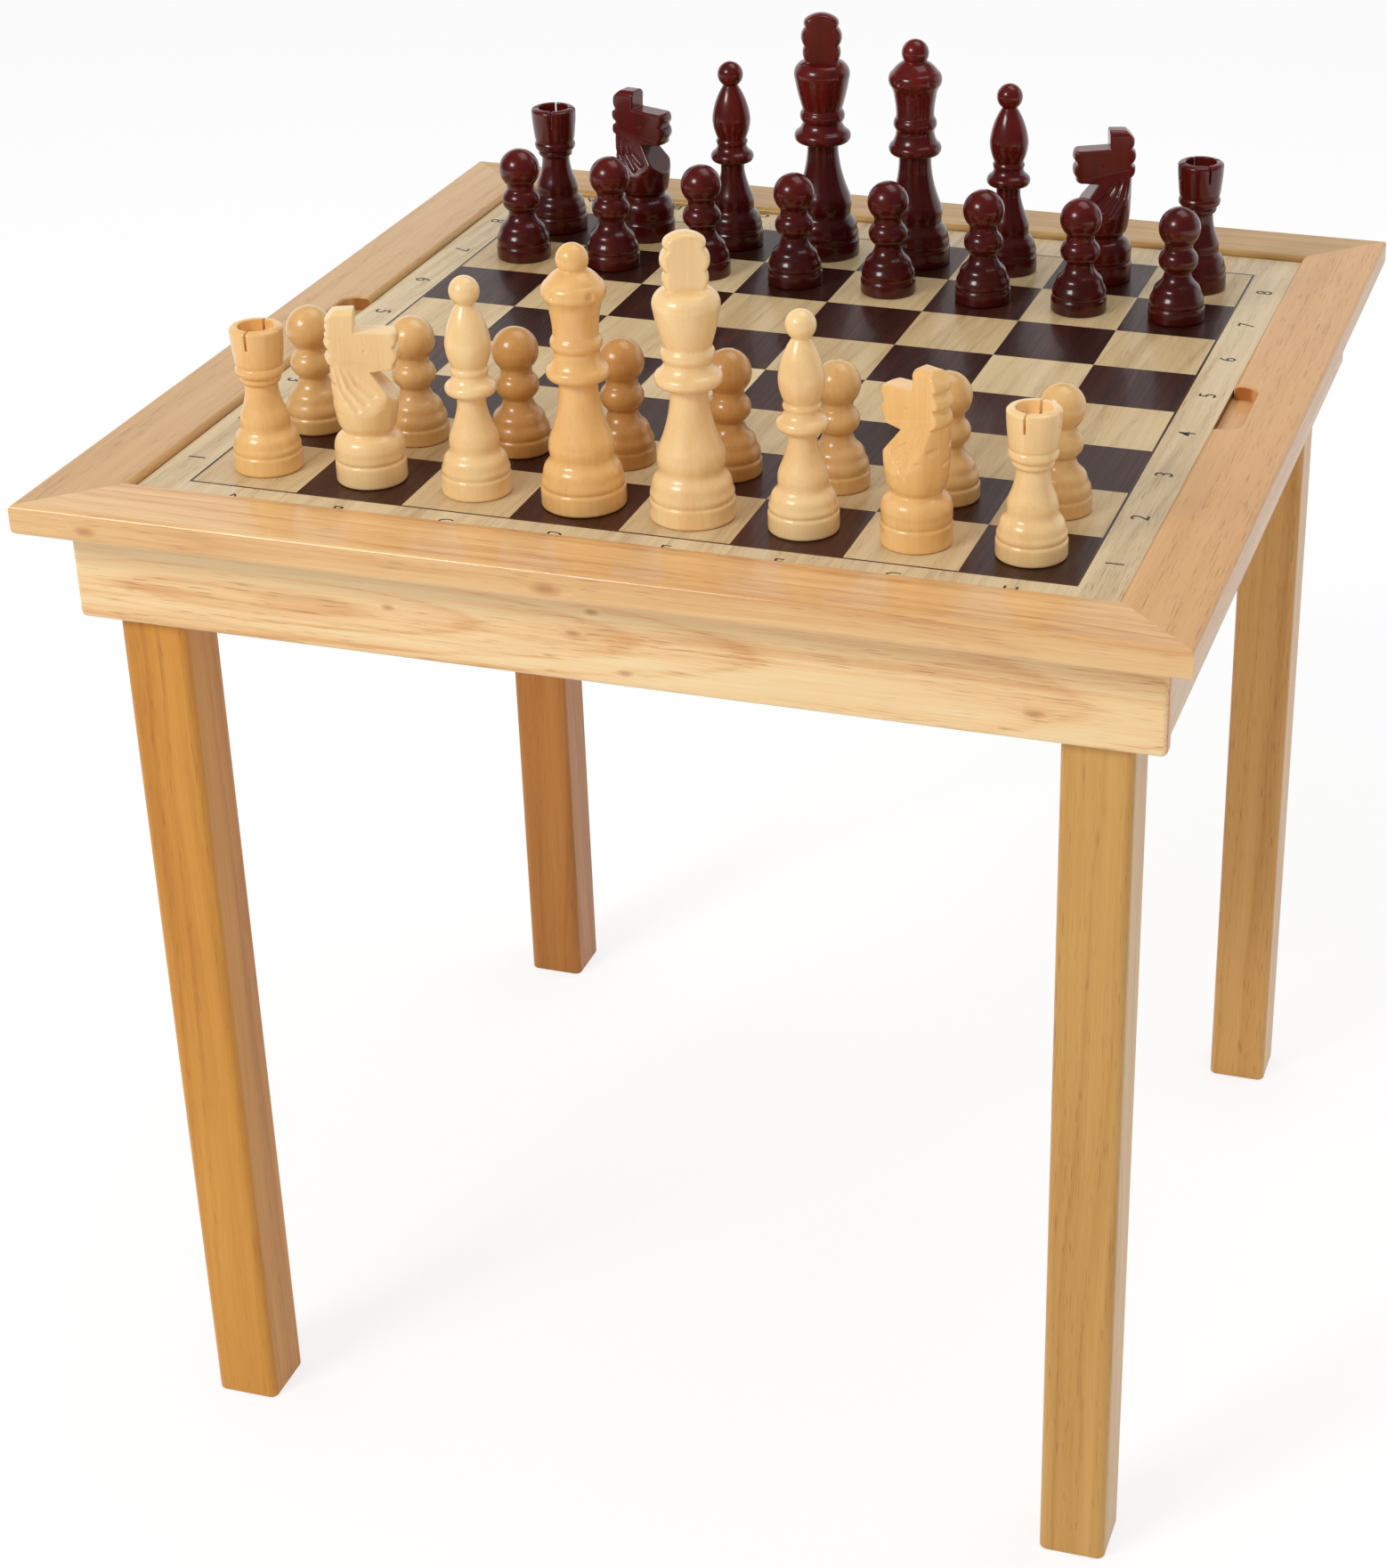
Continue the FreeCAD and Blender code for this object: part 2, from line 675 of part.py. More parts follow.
def make_squares(name, parity):
    """The 32 veneer squares of one colour, as separate solids."""
    squares = []
    for row in range(SQUARES_A_SIDE):
        for column in range(SQUARES_A_SIDE):
            if (row + column) % 2 != parity:
                continue
            square = doc.addObject("Part::Box", "%s_%s%d" % (name, FILES[column], row + 1))
            bind(square, "Length", s["square_side"])
            bind(square, "Width", s["square_side"])
            bind(square, "Height", s["veneer_thickness"])
            at_x = column * s["square_side"] - field_half
            at_y = row * s["square_side"] - field_half - s["field_shift"]
            place(square, at_x, at_y, veneer_floor)
            squares.append(square)
    make_group(name, squares)


def make_group(name, members):
    group = doc.addObject("Part::Compound", name)
    group.Label = name
    group.Links = members
    pieces.append(group)


# Fasteners

def make_cylinder(name, radius, height, x=0, y=0, z=0, rotation=Rotation()):
    cylinder = doc.addObject("Part::Cylinder", name)
    bind(cylinder, "Radius", radius)
    bind(cylinder, "Height", height)
    place(cylinder, x, y, z, rotation)
    return cylinder


def on_bolt_line(side_x, side_y, distance):
    """The point on a corner's bolt line at a distance inwards from the middle of the leg."""
    x = side_x * (leg_x - distance * HALF_ROOT)
    y = side_y * (leg_y - distance * HALF_ROOT)
    return x, y, bolt_height


def make_leg_fasteners():
    """A hanger bolt, washer and nut at each leg; each kind is one group."""
    washer_blank = make_cylinder("washer_blank", s["washer_radius"], s["washer_thickness"])
    loose = s["bolt_radius"] + s["bolt_clearance"]
    threaded = s["bolt_radius"] + s["thread_gap"]
    washer_hole = make_cylinder("washer_hole", loose, s["washer_thickness"])
    nut_hole = make_cylinder("nut_hole", threaded, s["nut_thickness"])
    nut_blank = doc.addObject("Part::Prism", "nut_blank")
    nut_blank.Polygon = NUT_SIDES
    bind(nut_blank, "Circumradius", s["nut_radius"])
    bind(nut_blank, "Height", s["nut_thickness"])
    washer_seat = seat_distance + s["block_thickness"]
    nut_seat = washer_seat + s["washer_thickness"]
    bolt_length = s["bolt_in_leg"] + s["block_thickness"] + s["bolt_end"]
    bolts = []
    washers = []
    nuts = []
    for corner, side_x, side_y, _ in CORNERS:
        inwards = pointing(-side_x, -side_y)
        start = on_bolt_line(side_x, side_y, seat_distance - s["bolt_in_leg"])
        bolts.append(make_cylinder("bolt_" + corner, s["bolt_radius"], bolt_length, *start, inwards))
        washers.append(make_cut("washer_" + corner, washer_blank, washer_hole))
        place(washers[-1], *on_bolt_line(side_x, side_y, washer_seat), inwards)
        nuts.append(make_cut("nut_" + corner, nut_blank, nut_hole))
        place(nuts[-1], *on_bolt_line(side_x, side_y, nut_seat), inwards)
    make_group("hanger_bolts", bolts)
    make_group("washers", washers)
    make_group("nuts", nuts)


def make_cut(name, base, tool):
    cut = doc.addObject("Part::Cut", name)
    cut.Label = name
    cut.Base = base
    cut.Tool = tool
    return cut


def make_dowels():
    """Four dowels across the frame's mitres and four between the side aprons and the rails."""
    dowels = []
    inset = s["mitre_dowel_inset"]
    for corner, side_x, side_y, _ in CORNERS:
        at_x = side_x * (frame_half - inset - mitre_dowel_reach)
        at_y = side_y * (frame_half - inset + mitre_dowel_reach)
        level = rail_floor + s["rail_thickness"] / 2
        lying = pointing(side_x, -side_y)
        dowels.append(make_cylinder("mitre_dowel_" + corner, s["dowel_radius"], s["dowel_length"],
                                    at_x, at_y, level, lying))
    for corner, side_x, side_y, _ in CORNERS:
        at_x = side_x * side_apron_middle
        at_y = side_y * s["apron_dowel_offset"]
        foot = rail_floor - s["dowel_length"] / 2
        dowels.append(make_cylinder("apron_dowel_" + corner, s["dowel_radius"], s["dowel_length"],
                                    at_x, at_y, foot))
    make_group("dowels", dowels)


# Chessmen

def make_profile(piece):
    """The half outline of a turned man, upright, with its foot on the origin."""
    profile = doc.addObject("Sketcher::SketchObject", piece + "_profile")
    profile.Placement = Placement(Vector(), Rotation(Vector(1, 0, 0), 90))
    corners = [(0, 0)]
    bows = {}
    height = 0
    for stop, sizes in TURNINGS[piece].items():
        alias = "%s_%s_" % (piece, stop)
        if "rise" in sizes:
            height = height + s[alias + "rise"]
        if "bow" in sizes:
            bows[len(corners)] = s[alias + "bow"]
        corners.append((s[alias + "radius"] if "radius" in sizes else 0, height))
    dome = len(corners) - 1 if piece in DOMED else None
    draw_outline(profile, corners, bows, dome)
    return profile


def turn(name, profile):
    turned = doc.addObject("Part::Revolution", name)
    turned.Label = name
    turned.Source = profile
    turned.Axis = Vector(0, 0, 1)
    turned.Angle = 360
    turned.Solid = True
    return turned


def make_rook_slits():
    """Two saw cuts that cross over the well of the turret."""
    top = 0
    for stop, sizes in TURNINGS["rook"].items():
        if sizes.get("rise", 0) > 0:
            top = top + s["rook_%s_rise" % stop]
    half_length = s["rook_edge_radius"]
    half_slit = s["slit_width"] / 2
    slits = []
    halves = {"slit_across": (half_length, half_slit), "slit_along": (half_slit, half_length)}
    for name, (half_x, half_y) in halves.items():
        slit = doc.addObject("Part::Box", name)
        bind(slit, "Length", 2 * half_x)
        bind(slit, "Width", 2 * half_y)
        bind(slit, "Height", s["slit_depth"])
        place(slit, -half_x, -half_y, top - s["slit_depth"])
        slits.append(slit)
    cross = doc.addObject("Part::MultiFuse", "rook_slits")
    cross.Shapes = slits
    return cross


def make_queen_dimples():
    """A ring of shallow round dimples in the rim of the crown."""
    reach = s["queen_flare_radius"] + s["dimple_inset"] + s["dimple_radius"] / 2
    dimples = []
    for number in range(DIMPLE_COUNT):
        angle = math.radians(FIRST_DIMPLE_TURN + 360 / DIMPLE_COUNT * number)
        dimple = doc.addObject("Part::Sphere", "queen_dimple_%d" % (number + 1))
        bind(dimple, "Radius", s["dimple_radius"])
        place(dimple, math.cos(angle) * reach, math.sin(angle) * reach, s["dimple_height"])
        dimples.append(dimple)
    ring = doc.addObject("Part::Compound", "queen_dimples")
    ring.Links = dimples
    return ring


def upright_slab(name, corners, thickness, bows=None):
    """A flat slab that stands on edge: an outline in X and Z, as thick as given about y = 0."""
    outline = doc.addObject("Sketcher::SketchObject", name + "_outline")
    outline.Placement = Placement(Vector(), Rotation(Vector(1, 0, 0), 90))
    draw_outline(outline, corners, bows)
    slab = doc.addObject("Part::Extrusion", name)
    slab.Base = outline
    slab.DirMode = "Normal"
    slab.Solid = True
    slab.Symmetric = True
    bind(slab, "LengthFwd", thickness)
    return slab


def make_side_cuts(name, corners):
    """What is sawn off the two sides of a man: an outline in Y and Z, right across it."""
    cuts = []
    for side, label in ((1, "left"), (-1, "right")):
        outline = [(side * y, z) for y, z in corners]
        cut = upright_slab("%s_%s_cut" % (name, label), outline, 2 * s["cut_reach"])
        place(cut, rotation=about_z(90))
        cuts.append(cut)
    return cuts


def make_king_cuts():
    """Two flats that leave the king's beaded finial as a slab."""
    half = s["finial_thickness"] / 2
    corners = [
        (half, s["finial_foot"]),
        (s["cut_reach"], s["finial_foot"]),
        (s["cut_reach"], s["cut_top"]),
        (half, s["cut_top"]),
    ]
    return make_fused("king_cuts", make_side_cuts("king", corners))


def make_knight_cuts():
    """The flats of the horse's head and flaring neck, and the notches before ears and throat."""
    half = s["head_thickness"] / 2
    corners = [
        (half, s["head_foot"]),
        (s["flare_half"], s["flare_foot"]),
        (s["cut_reach"], s["flare_foot"]),
        (s["cut_reach"], s["cut_top"]),
        (half, s["cut_top"]),
    ]
    forehead = [
        (s["ear_front"], s["cut_top"]),
        (s["ear_front"], s["poll_height"]),
        (s["cut_reach"], s["poll_height"]),
        (s["cut_reach"], s["cut_top"]),
    ]
    throat = [
        (s["cut_reach"], s["jaw_height"]),
        (s["throat_front"], s["throat_height"]),
        (s["breast_front"], s["breast_height"]),
        (s["cut_reach"], s["breast_height"]),
    ]
    width = 2 * s["cut_reach"]
    cuts = make_side_cuts("knight", corners)
    cuts.append(upright_slab("knight_forehead_cut", forehead, width))
    cuts.append(upright_slab("knight_throat_cut", throat, width))
    return make_fused("knight_cuts", cuts)


def make_fused(name, shapes):
    fused = doc.addObject("Part::MultiFuse", name)
    fused.Label = name
    fused.Shapes = shapes
    return fused


def make_man(name, piece, column, row):
    """One chessman on its square."""
    if piece in carvings:
        man = make_cut(name, blanks[piece], carvings[piece])
    else:
        man = turn(name, profiles[piece])
    at_x = (column + 0.5) * s["square_side"] - field_half
    at_y = (row + 0.5) * s["square_side"] - field_half - s["field_shift"]
    place(man, at_x, at_y, board_top, about_z(TURNS.get(name, 0)))
    pieces.append(man)


def make_men():
    for colour, ranks in BACK_RANKS.items():
        for column, piece in enumerate(ranks):
            name = "%s_%s" % (colour, piece)
            if ranks.count(piece) > 1:
                name += "_" + FILES[column]
            make_man(name, piece, column, BACK_ROW[colour])
        for column, letter in enumerate(FILES):
            make_man("%s_pawn_%s" % (colour, letter), "pawn", column, PAWN_ROW[colour])


def check_document():
    for item in doc.Objects:
        if "Invalid" in item.State or "Error" in item.State:
            raise RuntimeError("%s failed: %s" % (item.Name, item.State))
    for piece in pieces:
        if piece.Shape.isNull() or not piece.Shape.isValid():
            raise RuntimeError("%s has no valid shape" % piece.Label)


doc = FreeCAD.newDocument("chess_table")
s = make_sheet()
pieces = []

# Places that several pieces share
field_half = SQUARES_A_SIDE / 2 * s["square_side"]
line_half = field_half + s["line_width"]
board_half = line_half + s["border_width"]
frame_half = board_half + s["board_gap"] + s["rail_width"]
rail_floor = s["table_height"] - s["rail_thickness"]
apron_floor = rail_floor - s["apron_height"]
rebate_depth = s["board_recess"] + s["core_thickness"] + s["veneer_thickness"]
board_top = s["table_height"] - s["board_recess"]
veneer_floor = board_top - s["veneer_thickness"]
board_floor = veneer_floor - s["core_thickness"]
front_face = frame_half - s["front_overhang"]
side_face = frame_half - s["side_overhang"]
leg_face_x = side_face - s["side_apron_thickness"]
leg_face_y = front_face - s["front_apron_thickness"]
leg_x = leg_face_x - s["leg_side"] / 2
leg_y = leg_face_y - s["leg_side"] / 2
side_apron_middle = side_face - s["side_apron_thickness"] / 2
seat_distance = (s["leg_side"] - s["leg_seat"]) * HALF_ROOT
bolt_height = rail_floor - s["block_height"] / 2
dowel_hole = s["dowel_radius"] + s["dowel_gap"]
mitre_dowel_reach = s["dowel_length"] / 2 * HALF_ROOT

make_rail("rail_front", 0, False)
make_rail("rail_back", 180, False)
make_rail("rail_right", 90, True)
make_rail("rail_left", 270, True)

end_half = side_face + s["apron_end_reveal"]
groove_x = leg_face_x - s["leg_side"]
groove_y = leg_face_y - s["leg_side"]
make_apron("apron_front", end_half, front_face, s["front_apron_thickness"], 0, groove_x, False)
make_apron("apron_back", side_face, front_face, s["front_apron_thickness"], 180, groove_x, False)
make_apron("apron_right", leg_face_y, side_face, s["side_apron_thickness"], 90, groove_y, True)
make_apron("apron_left", leg_face_y, side_face, s["side_apron_thickness"], 270, groove_y, True)

for corner, side_x, side_y, angle in CORNERS:
    make_leg("leg_" + corner, side_x, side_y, angle)
for corner, side_x, side_y, angle in CORNERS:
    make_block("corner_block_" + corner, side_x, side_y, angle)
make_leg_fasteners()
make_dowels()
make_floor()

make_core()
make_ring("border_veneer", board_half, 0, line_half)
make_ring("stringing", line_half, s["field_shift"], field_half)
make_squares("light_squares", 0)
make_squares("dark_squares", 1)

profiles = {piece: make_profile(piece) for piece in TURNINGS}
carvings = {
    "rook": make_rook_slits(),
    "queen": make_queen_dimples(),
    "king": make_king_cuts(),
    "knight": make_knight_cuts(),
}
blanks = {piece: turn(piece + "_blank", profiles[piece]) for piece in carvings}
make_men()

doc.recompute()
check_document()
os.makedirs("parts", exist_ok=True)
for piece in pieces:
    piece.Shape.exportStep("parts/%s.step" % piece.Label)
print("%d pieces written" % len(pieces))
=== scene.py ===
"""Chess table with inlaid board: finishes, carved pieces, marks, light and camera."""
import math

import bmesh
import bpy
import numpy as np
from mathutils import Euler, Matrix, Vector


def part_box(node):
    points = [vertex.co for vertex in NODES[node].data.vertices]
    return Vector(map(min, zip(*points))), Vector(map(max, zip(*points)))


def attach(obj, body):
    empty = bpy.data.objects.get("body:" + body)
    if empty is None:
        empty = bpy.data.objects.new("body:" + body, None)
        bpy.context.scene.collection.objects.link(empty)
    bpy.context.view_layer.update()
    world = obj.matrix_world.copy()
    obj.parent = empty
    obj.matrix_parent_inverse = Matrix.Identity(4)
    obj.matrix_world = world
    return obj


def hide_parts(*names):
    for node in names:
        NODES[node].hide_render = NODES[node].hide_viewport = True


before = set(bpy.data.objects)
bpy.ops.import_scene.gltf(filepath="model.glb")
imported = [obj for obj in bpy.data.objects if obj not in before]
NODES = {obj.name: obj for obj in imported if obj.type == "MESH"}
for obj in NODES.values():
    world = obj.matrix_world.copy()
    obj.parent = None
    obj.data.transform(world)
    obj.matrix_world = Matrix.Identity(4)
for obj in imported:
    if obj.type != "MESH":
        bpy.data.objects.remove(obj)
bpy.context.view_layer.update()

# ---------------------------------------------------------------- colours and node trees


def rgb(red, green, blue):
    """A display colour from 0 to 255 as the linear colour that shaders take."""
    linear = []
    for value in (red, green, blue):
        value = value / 255
        linear.append(value / 12.92 if value <= 0.04045 else ((value + 0.055) / 1.055) ** 2.4)
    return (*linear, 1)


class Shader:
    """A material, or the world, and short calls that add nodes to its tree."""

    def __init__(self, name, owner=None):
        self.material = owner or bpy.data.materials.new(name)
        self.material.use_nodes = True
        self.tree = self.material.node_tree
        self.tree.nodes.clear()

    def node(self, kind, inputs, **settings):
        """Adds a node. An input that is a socket is linked, and any other value is set."""
        made = self.tree.nodes.new("ShaderNode" + kind)
        for key, value in settings.items():
            setattr(made, key, value)
        for key, value in inputs.items():
            if isinstance(value, bpy.types.NodeSocket):
                self.tree.links.new(value, made.inputs[key])
            else:
                made.inputs[key].default_value = value
        return made

    def math(self, operation, *values):
        """The result of one sum, each value a number or a socket."""
        return self.node("Math", dict(enumerate(values)), operation=operation).outputs[0]

    def place(self, turn=(0, 0, 0), middle=(0, 0, 0), shift=(0, 0, 0)):
        """The object's own coordinates, in metres, from its middle, turned and shifted."""
        source = self.node("TexCoord", {}).outputs["Object"]
        at = Vector(shift) - Euler(turn).to_matrix() @ Vector(middle)
        turned = self.node("Mapping", {"Vector": source, "Rotation": turn, "Location": at})
        return turned.outputs[0]

    def stretch(self, vector, scale):
        """Coordinates scaled along each axis: the larger the scale, the finer the pattern."""
        return self.node("Mapping", {"Vector": vector, "Scale": scale}).outputs[0]

    def noise(self, vector, scale=1.0, detail=2.0, roughness=0.5):
        """A cloudy pattern of 0 to 1."""
        inputs = {"Vector": vector, "Scale": scale, "Detail": detail, "Roughness": roughness}
        return self.node("TexNoise", inputs).outputs[0]

    def ramp(self, factor, stops):
        """A smooth curve through (position, grey) stops."""
        made = self.node("ValToRGB", {"Fac": factor})
        elements = made.color_ramp.elements
        while len(elements) < len(stops):
            elements.new(0.5)
        for element, (position, grey) in zip(elements, stops):
            element.position = position
            element.color = (grey, grey, grey, 1)
        return made.outputs[0]

    def palette(self, factor, colors):
        """Colours spread evenly over 0 to 1."""
        made = self.node("ValToRGB", {"Fac": factor})
        elements = made.color_ramp.elements
        while len(elements) < len(colors):
            elements.new(0.5)
        for number, (element, color) in enumerate(zip(elements, colors)):
            element.position = number / (len(colors) - 1)
            element.color = rgb(*color)
        return made.outputs[0]

    def span(self, value, low, high, to_low=0.0, to_high=1.0):
        """value taken from low..high to to_low..to_high and held at the ends."""
        keys = ("Value", "From Min", "From Max", "To Min", "To Max")
        inputs = dict(zip(keys, (value, low, high, to_low, to_high)))
        return self.node("MapRange", inputs).outputs[0]

    def mix(self, factor, first, second, blend="MIX"):
        """One colour blended over another by a factor of 0 to 1."""
        made = self.node("Mix", {}, data_type="RGBA", blend_type=blend)
        for number, value in ((0, factor), (6, first), (7, second)):
            if isinstance(value, bpy.types.NodeSocket):
                self.tree.links.new(value, made.inputs[number])
            else:
                made.inputs[number].default_value = value
        return made.outputs[2]

    def bump(self, height, distance):
        """Normals that follow a height pattern, whose full swing is distance, in metres."""
        inputs = {"Height": height, "Distance": distance, "Strength": 1.0}
        return self.node("Bump", inputs).outputs[0]

    def surface(self, **values):
        """Ends the tree with the main shader, its sockets set by name."""
        names = {"color": "Base Color", "rough": "Roughness", "normal": "Normal",
                 "coat": "Coat Weight", "coat_rough": "Coat Roughness", "metal": "Metallic",
                 "gloss": "Specular IOR Level"}
        inputs = {names[key]: value for key, value in values.items()}
        shader = self.node("BsdfPrincipled", inputs)
        self.node("OutputMaterial", {"Surface": shader.outputs[0]})
        return self.material


# Turns that lay a piece's grain along the first coordinate of a wood.
ALONG_X = (0, 0, 0)
ALONG_Y = (0, 0, math.radians(-90))
ALONG_Z = (0, math.radians(90), 0)
GRAIN_AXIS = {ALONG_X: 0, ALONG_Y: 1, ALONG_Z: 2}

SQUARE = 0.05
KNOT = (176, 108, 56)
# How far the growth rings wander off a true circle, in metres.
BEND = 0.012


def wood(name, colors, pore, along=ALONG_X, middle=(0, 0, 0), shift=(0, 0, 0), pith=(0.06, 0.02),
         lean=(0.08, 0.01), ring=0.006, contrast=0.3, streaks=0.5, pores=0.5, rough=0.34,
         coat=0.5, gloss=0.4, patch=0.2, knots=(), squares=0.0):
    """A sawn hardwood: growth rings round a leaning pith, fibre streaks, open pores, lacquer.

    colors run from the palest streak to the darkest. pith is the pith's distance from the
    piece's own axis, lean how far it goes off per metre. Each knot has its place along the
    piece and up it, and its size. squares is how far the tone differs from square to square.
    """
    s = Shader(name)
    grain = s.place(turn=along, middle=middle, shift=shift)
    parts = s.node("SeparateXYZ", {"Vector": grain}).outputs
    run, side, up = parts[0], parts[1], parts[2]
    wander = s.noise(s.stretch(grain, (4, 14, 14)), detail=2, roughness=0.5)
    wander = s.math("MULTIPLY", s.math("SUBTRACT", wander, 0.5), BEND)
    stain = 0.0
    for at_run, at_up, size in knots:
        off_run = s.math("MULTIPLY", s.math("SUBTRACT", run, at_run + shift[0]), 0.45)
        off_up = s.math("SUBTRACT", up, at_up + shift[2])
        off = s.math("SQRT", s.math("ADD", s.math("MULTIPLY", off_run, off_run),
                                    s.math("MULTIPLY", off_up, off_up)))
        near = s.span(off, 0.0, size * 3.0, 1.0, 0.0)
        near = s.math("MULTIPLY", near, near)
        wander = s.math("ADD", wander, s.math("MULTIPLY", near, size * 0.7))
        stain = s.math("MAXIMUM", stain, s.span(off, size * 0.2, size, 1.0, 0.0))
    off_side = s.math("ADD", s.math("ADD", side, pith[0]), s.math("MULTIPLY", run, lean[0]))
    off_up = s.math("ADD", s.math("ADD", up, pith[1]), s.math("MULTIPLY", run, lean[1]))
    radius = s.math("SQRT", s.math("ADD", s.math("MULTIPLY", off_side, off_side),
                                   s.math("MULTIPLY", off_up, off_up)))
    radius = s.math("ADD", radius, wander)
    age = s.math("ADD", s.math("DIVIDE", radius, ring),
                 s.math("MULTIPLY", s.noise(s.node("CombineXYZ", {"X": radius}).outputs[0],
                                            scale=60, detail=1), 3.0))
    late = s.ramp(s.math("FRACT", age), [(0.0, 0.3), (0.15, 0.0), (0.6, 0.3), (0.88, 1.0),
                                         (1.0, 0.3)])
    # fibres follow the rings: their cross coordinates move with the wander
    drift = s.node("CombineXYZ", {"X": 0.0, "Y": wander, "Z": wander}).outputs[0]
    fibres = s.node("VectorMath", {0: grain, 1: drift}, operation="ADD").outputs[0]
    fine = s.noise(s.stretch(fibres, (11, 1300, 1300)), detail=3, roughness=0.6)
    streak = s.noise(s.stretch(fibres, (4.5, 330, 330)), detail=3, roughness=0.62)
    broad = s.noise(s.stretch(fibres, (2.2, 75, 75)), detail=2, roughness=0.5)
    cloud = s.noise(s.stretch(grain, (5, 26, 26)), detail=2)
    dash = s.span(s.noise(s.stretch(grain, (70, 1500, 1500)), detail=1, roughness=0.4), 0.61, 0.7)
    dash = s.math("MULTIPLY", dash, s.span(s.math("ADD", s.math("MULTIPLY", late, 0.3), broad),
                                           0.4, 0.75))
    tone = s.math("ADD", 0.5, s.math("MULTIPLY", s.math("SUBTRACT", late, 0.35), contrast))
    for pattern, weight in ((broad, 1.9), (streak, 1.5), (fine, 0.9)):
        swing = s.math("MULTIPLY", s.math("SUBTRACT", pattern, 0.5), streaks * weight)
        tone = s.math("ADD", tone, swing)
    tone = s.math("ADD", tone, s.math("MULTIPLY", s.math("SUBTRACT", cloud, 0.5), patch * 2))
    if squares:
        inputs = {0: s.place(middle=(0, FIELD_Y, 0)), 1: (SQUARE, SQUARE, SQUARE)}
        cell = s.node("VectorMath", inputs, operation="DIVIDE").outputs[0]
        cell = s.node("VectorMath", {0: cell, 1: (1, 1, 0)}, operation="MULTIPLY").outputs[0]
        cell = s.node("VectorMath", {0: cell}, operation="FLOOR").outputs[0]
        own = s.node("TexWhiteNoise", {"Vector": cell}, noise_dimensions="3D").outputs[0]
        tone = s.math("ADD", tone, s.math("MULTIPLY", s.math("SUBTRACT", own, 0.5), squares))
    color = s.palette(tone, colors)
    color = s.mix(s.math("MULTIPLY", dash, pores), color, rgb(*pore))
    if knots:
        color = s.mix(s.math("MULTIPLY", stain, 0.6), color, rgb(*KNOT))
    # End faces darken towards the darkest colour: partly end grain, and partly painted shade on
    # end faces.
    facing = s.node("TexCoord", {}).outputs["Normal"]
    facing = s.node("SeparateXYZ", {"Vector": facing}).outputs[GRAIN_AXIS[along]]
    end = s.span(s.math("ABSOLUTE", facing), 0.75, 0.95, 0.0, 0.85)
    color = s.mix(end, color, rgb(*colors[-1]), "MULTIPLY")
    height = s.math("SUBTRACT", s.math("MULTIPLY", fine, 0.6), s.math("MULTIPLY", dash, 0.5))
    roughness = s.span(fine, 0.3, 0.7, rough - 0.05, rough + 0.08)
    return s.surface(color=color, rough=roughness, normal=s.bump(height, 0.00008), coat=coat,
                     coat_rough=0.1, gloss=gloss)


def turned_wood(name, colors, pore, grain_swing, shift, rough, coat, coat_rough, gloss, foot=1.0):
    """Close-grained wood of a turned man, upright grain under a gloss lacquer.

    foot is how bright the painted shade leaves the foot, which is darker than the head when under
    1.
    grain_swing is how far the tone goes from streak to streak.
    """
    s = Shader(name)
    grain = s.place(turn=ALONG_Z, shift=shift)
    fibre = s.noise(s.stretch(grain, (22, 900, 900)), detail=3, roughness=0.55)
    broad = s.noise(s.stretch(grain, (9, 120, 120)), detail=2, roughness=0.5)
    cloud = s.noise(s.stretch(grain, (14, 30, 30)), detail=2)
    dash = s.span(s.noise(s.stretch(grain, (120, 1600, 1600)), detail=1), 0.64, 0.74)
    tone = 0.5
    for pattern, weight in ((broad, 1.6), (fibre, 0.7), (cloud, 1.5)):
        swing = s.math("MULTIPLY", s.math("SUBTRACT", pattern, 0.5), grain_swing * weight)
        tone = s.math("ADD", tone, swing)
    color = s.palette(tone, colors)
    color = s.mix(s.math("MULTIPLY", dash, 0.12), color, rgb(*pore))
    # Painted shade: the colour darkens towards black near the foot, as far as foot allows.
    up = s.node("SeparateXYZ", {"Vector": s.place()}).outputs[2]
    color = s.mix(s.span(up, 0.02, 0.085, 1.0 - foot, 0.0), color, (0, 0, 0, 1))
    roughness = s.span(fibre, 0.3, 0.7, rough - 0.02, rough + 0.03)
    return s.surface(color=color, rough=roughness, normal=s.bump(fibre, 0.000015), coat=coat,
                     coat_rough=coat_rough, gloss=gloss)


# ---------------------------------------------------------------- finishes of the solids

FRAME_PORE = (158, 104, 58)


def centre(node):
    """The middle of a CAD solid's box."""
    low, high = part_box(node)
    return (low + high) / 2


def dress(node, material):
    """Gives a CAD solid one material in every slot it has."""
    for slot in NODES[node].material_slots:
        slot.material = material


RAILS = {
    "rail_front": dict(colors=((248, 208, 148), (232, 182, 120), (202, 140, 82)), along=ALONG_X,
                       shift=(0.1, 0, 0), pith=(0.09, 0.01), lean=(0.03, 0.01), streaks=0.55,
                       coat=0.55, patch=0.1,
                       knots=((-0.224, -0.001, 0.0028), (-0.012, -0.001, 0.004))),
    "rail_back": dict(colors=((216, 178, 112), (198, 155, 92), (174, 128, 68)), along=ALONG_X,
                      shift=(0.9, 0, 0), pith=(-0.07, 0.02), lean=(0.03, 0.01), streaks=0.4,
                      coat=0.25, gloss=0.25),
    "rail_left": dict(colors=((224, 180, 122), (212, 166, 106), (196, 146, 88)), along=ALONG_Y,
                      shift=(0.4, 0, 0), pith=(0.05, 0.1), lean=(0.02, 0.02), streaks=0.35,
                      coat=0.35),
    "rail_right": dict(colors=((232, 184, 124), (220, 168, 110), (204, 150, 92)), along=ALONG_Y,
                       shift=(1.3, 0, 0), pith=(0.06, 0.1), lean=(0.02, 0.02), streaks=0.3,
                       coat=0.25, gloss=0.25),
}
for name, look in RAILS.items():
    dress(name, wood(name + "_wood", pore=FRAME_PORE, ring=0.009, contrast=0.2,
                     middle=centre(name), **look))

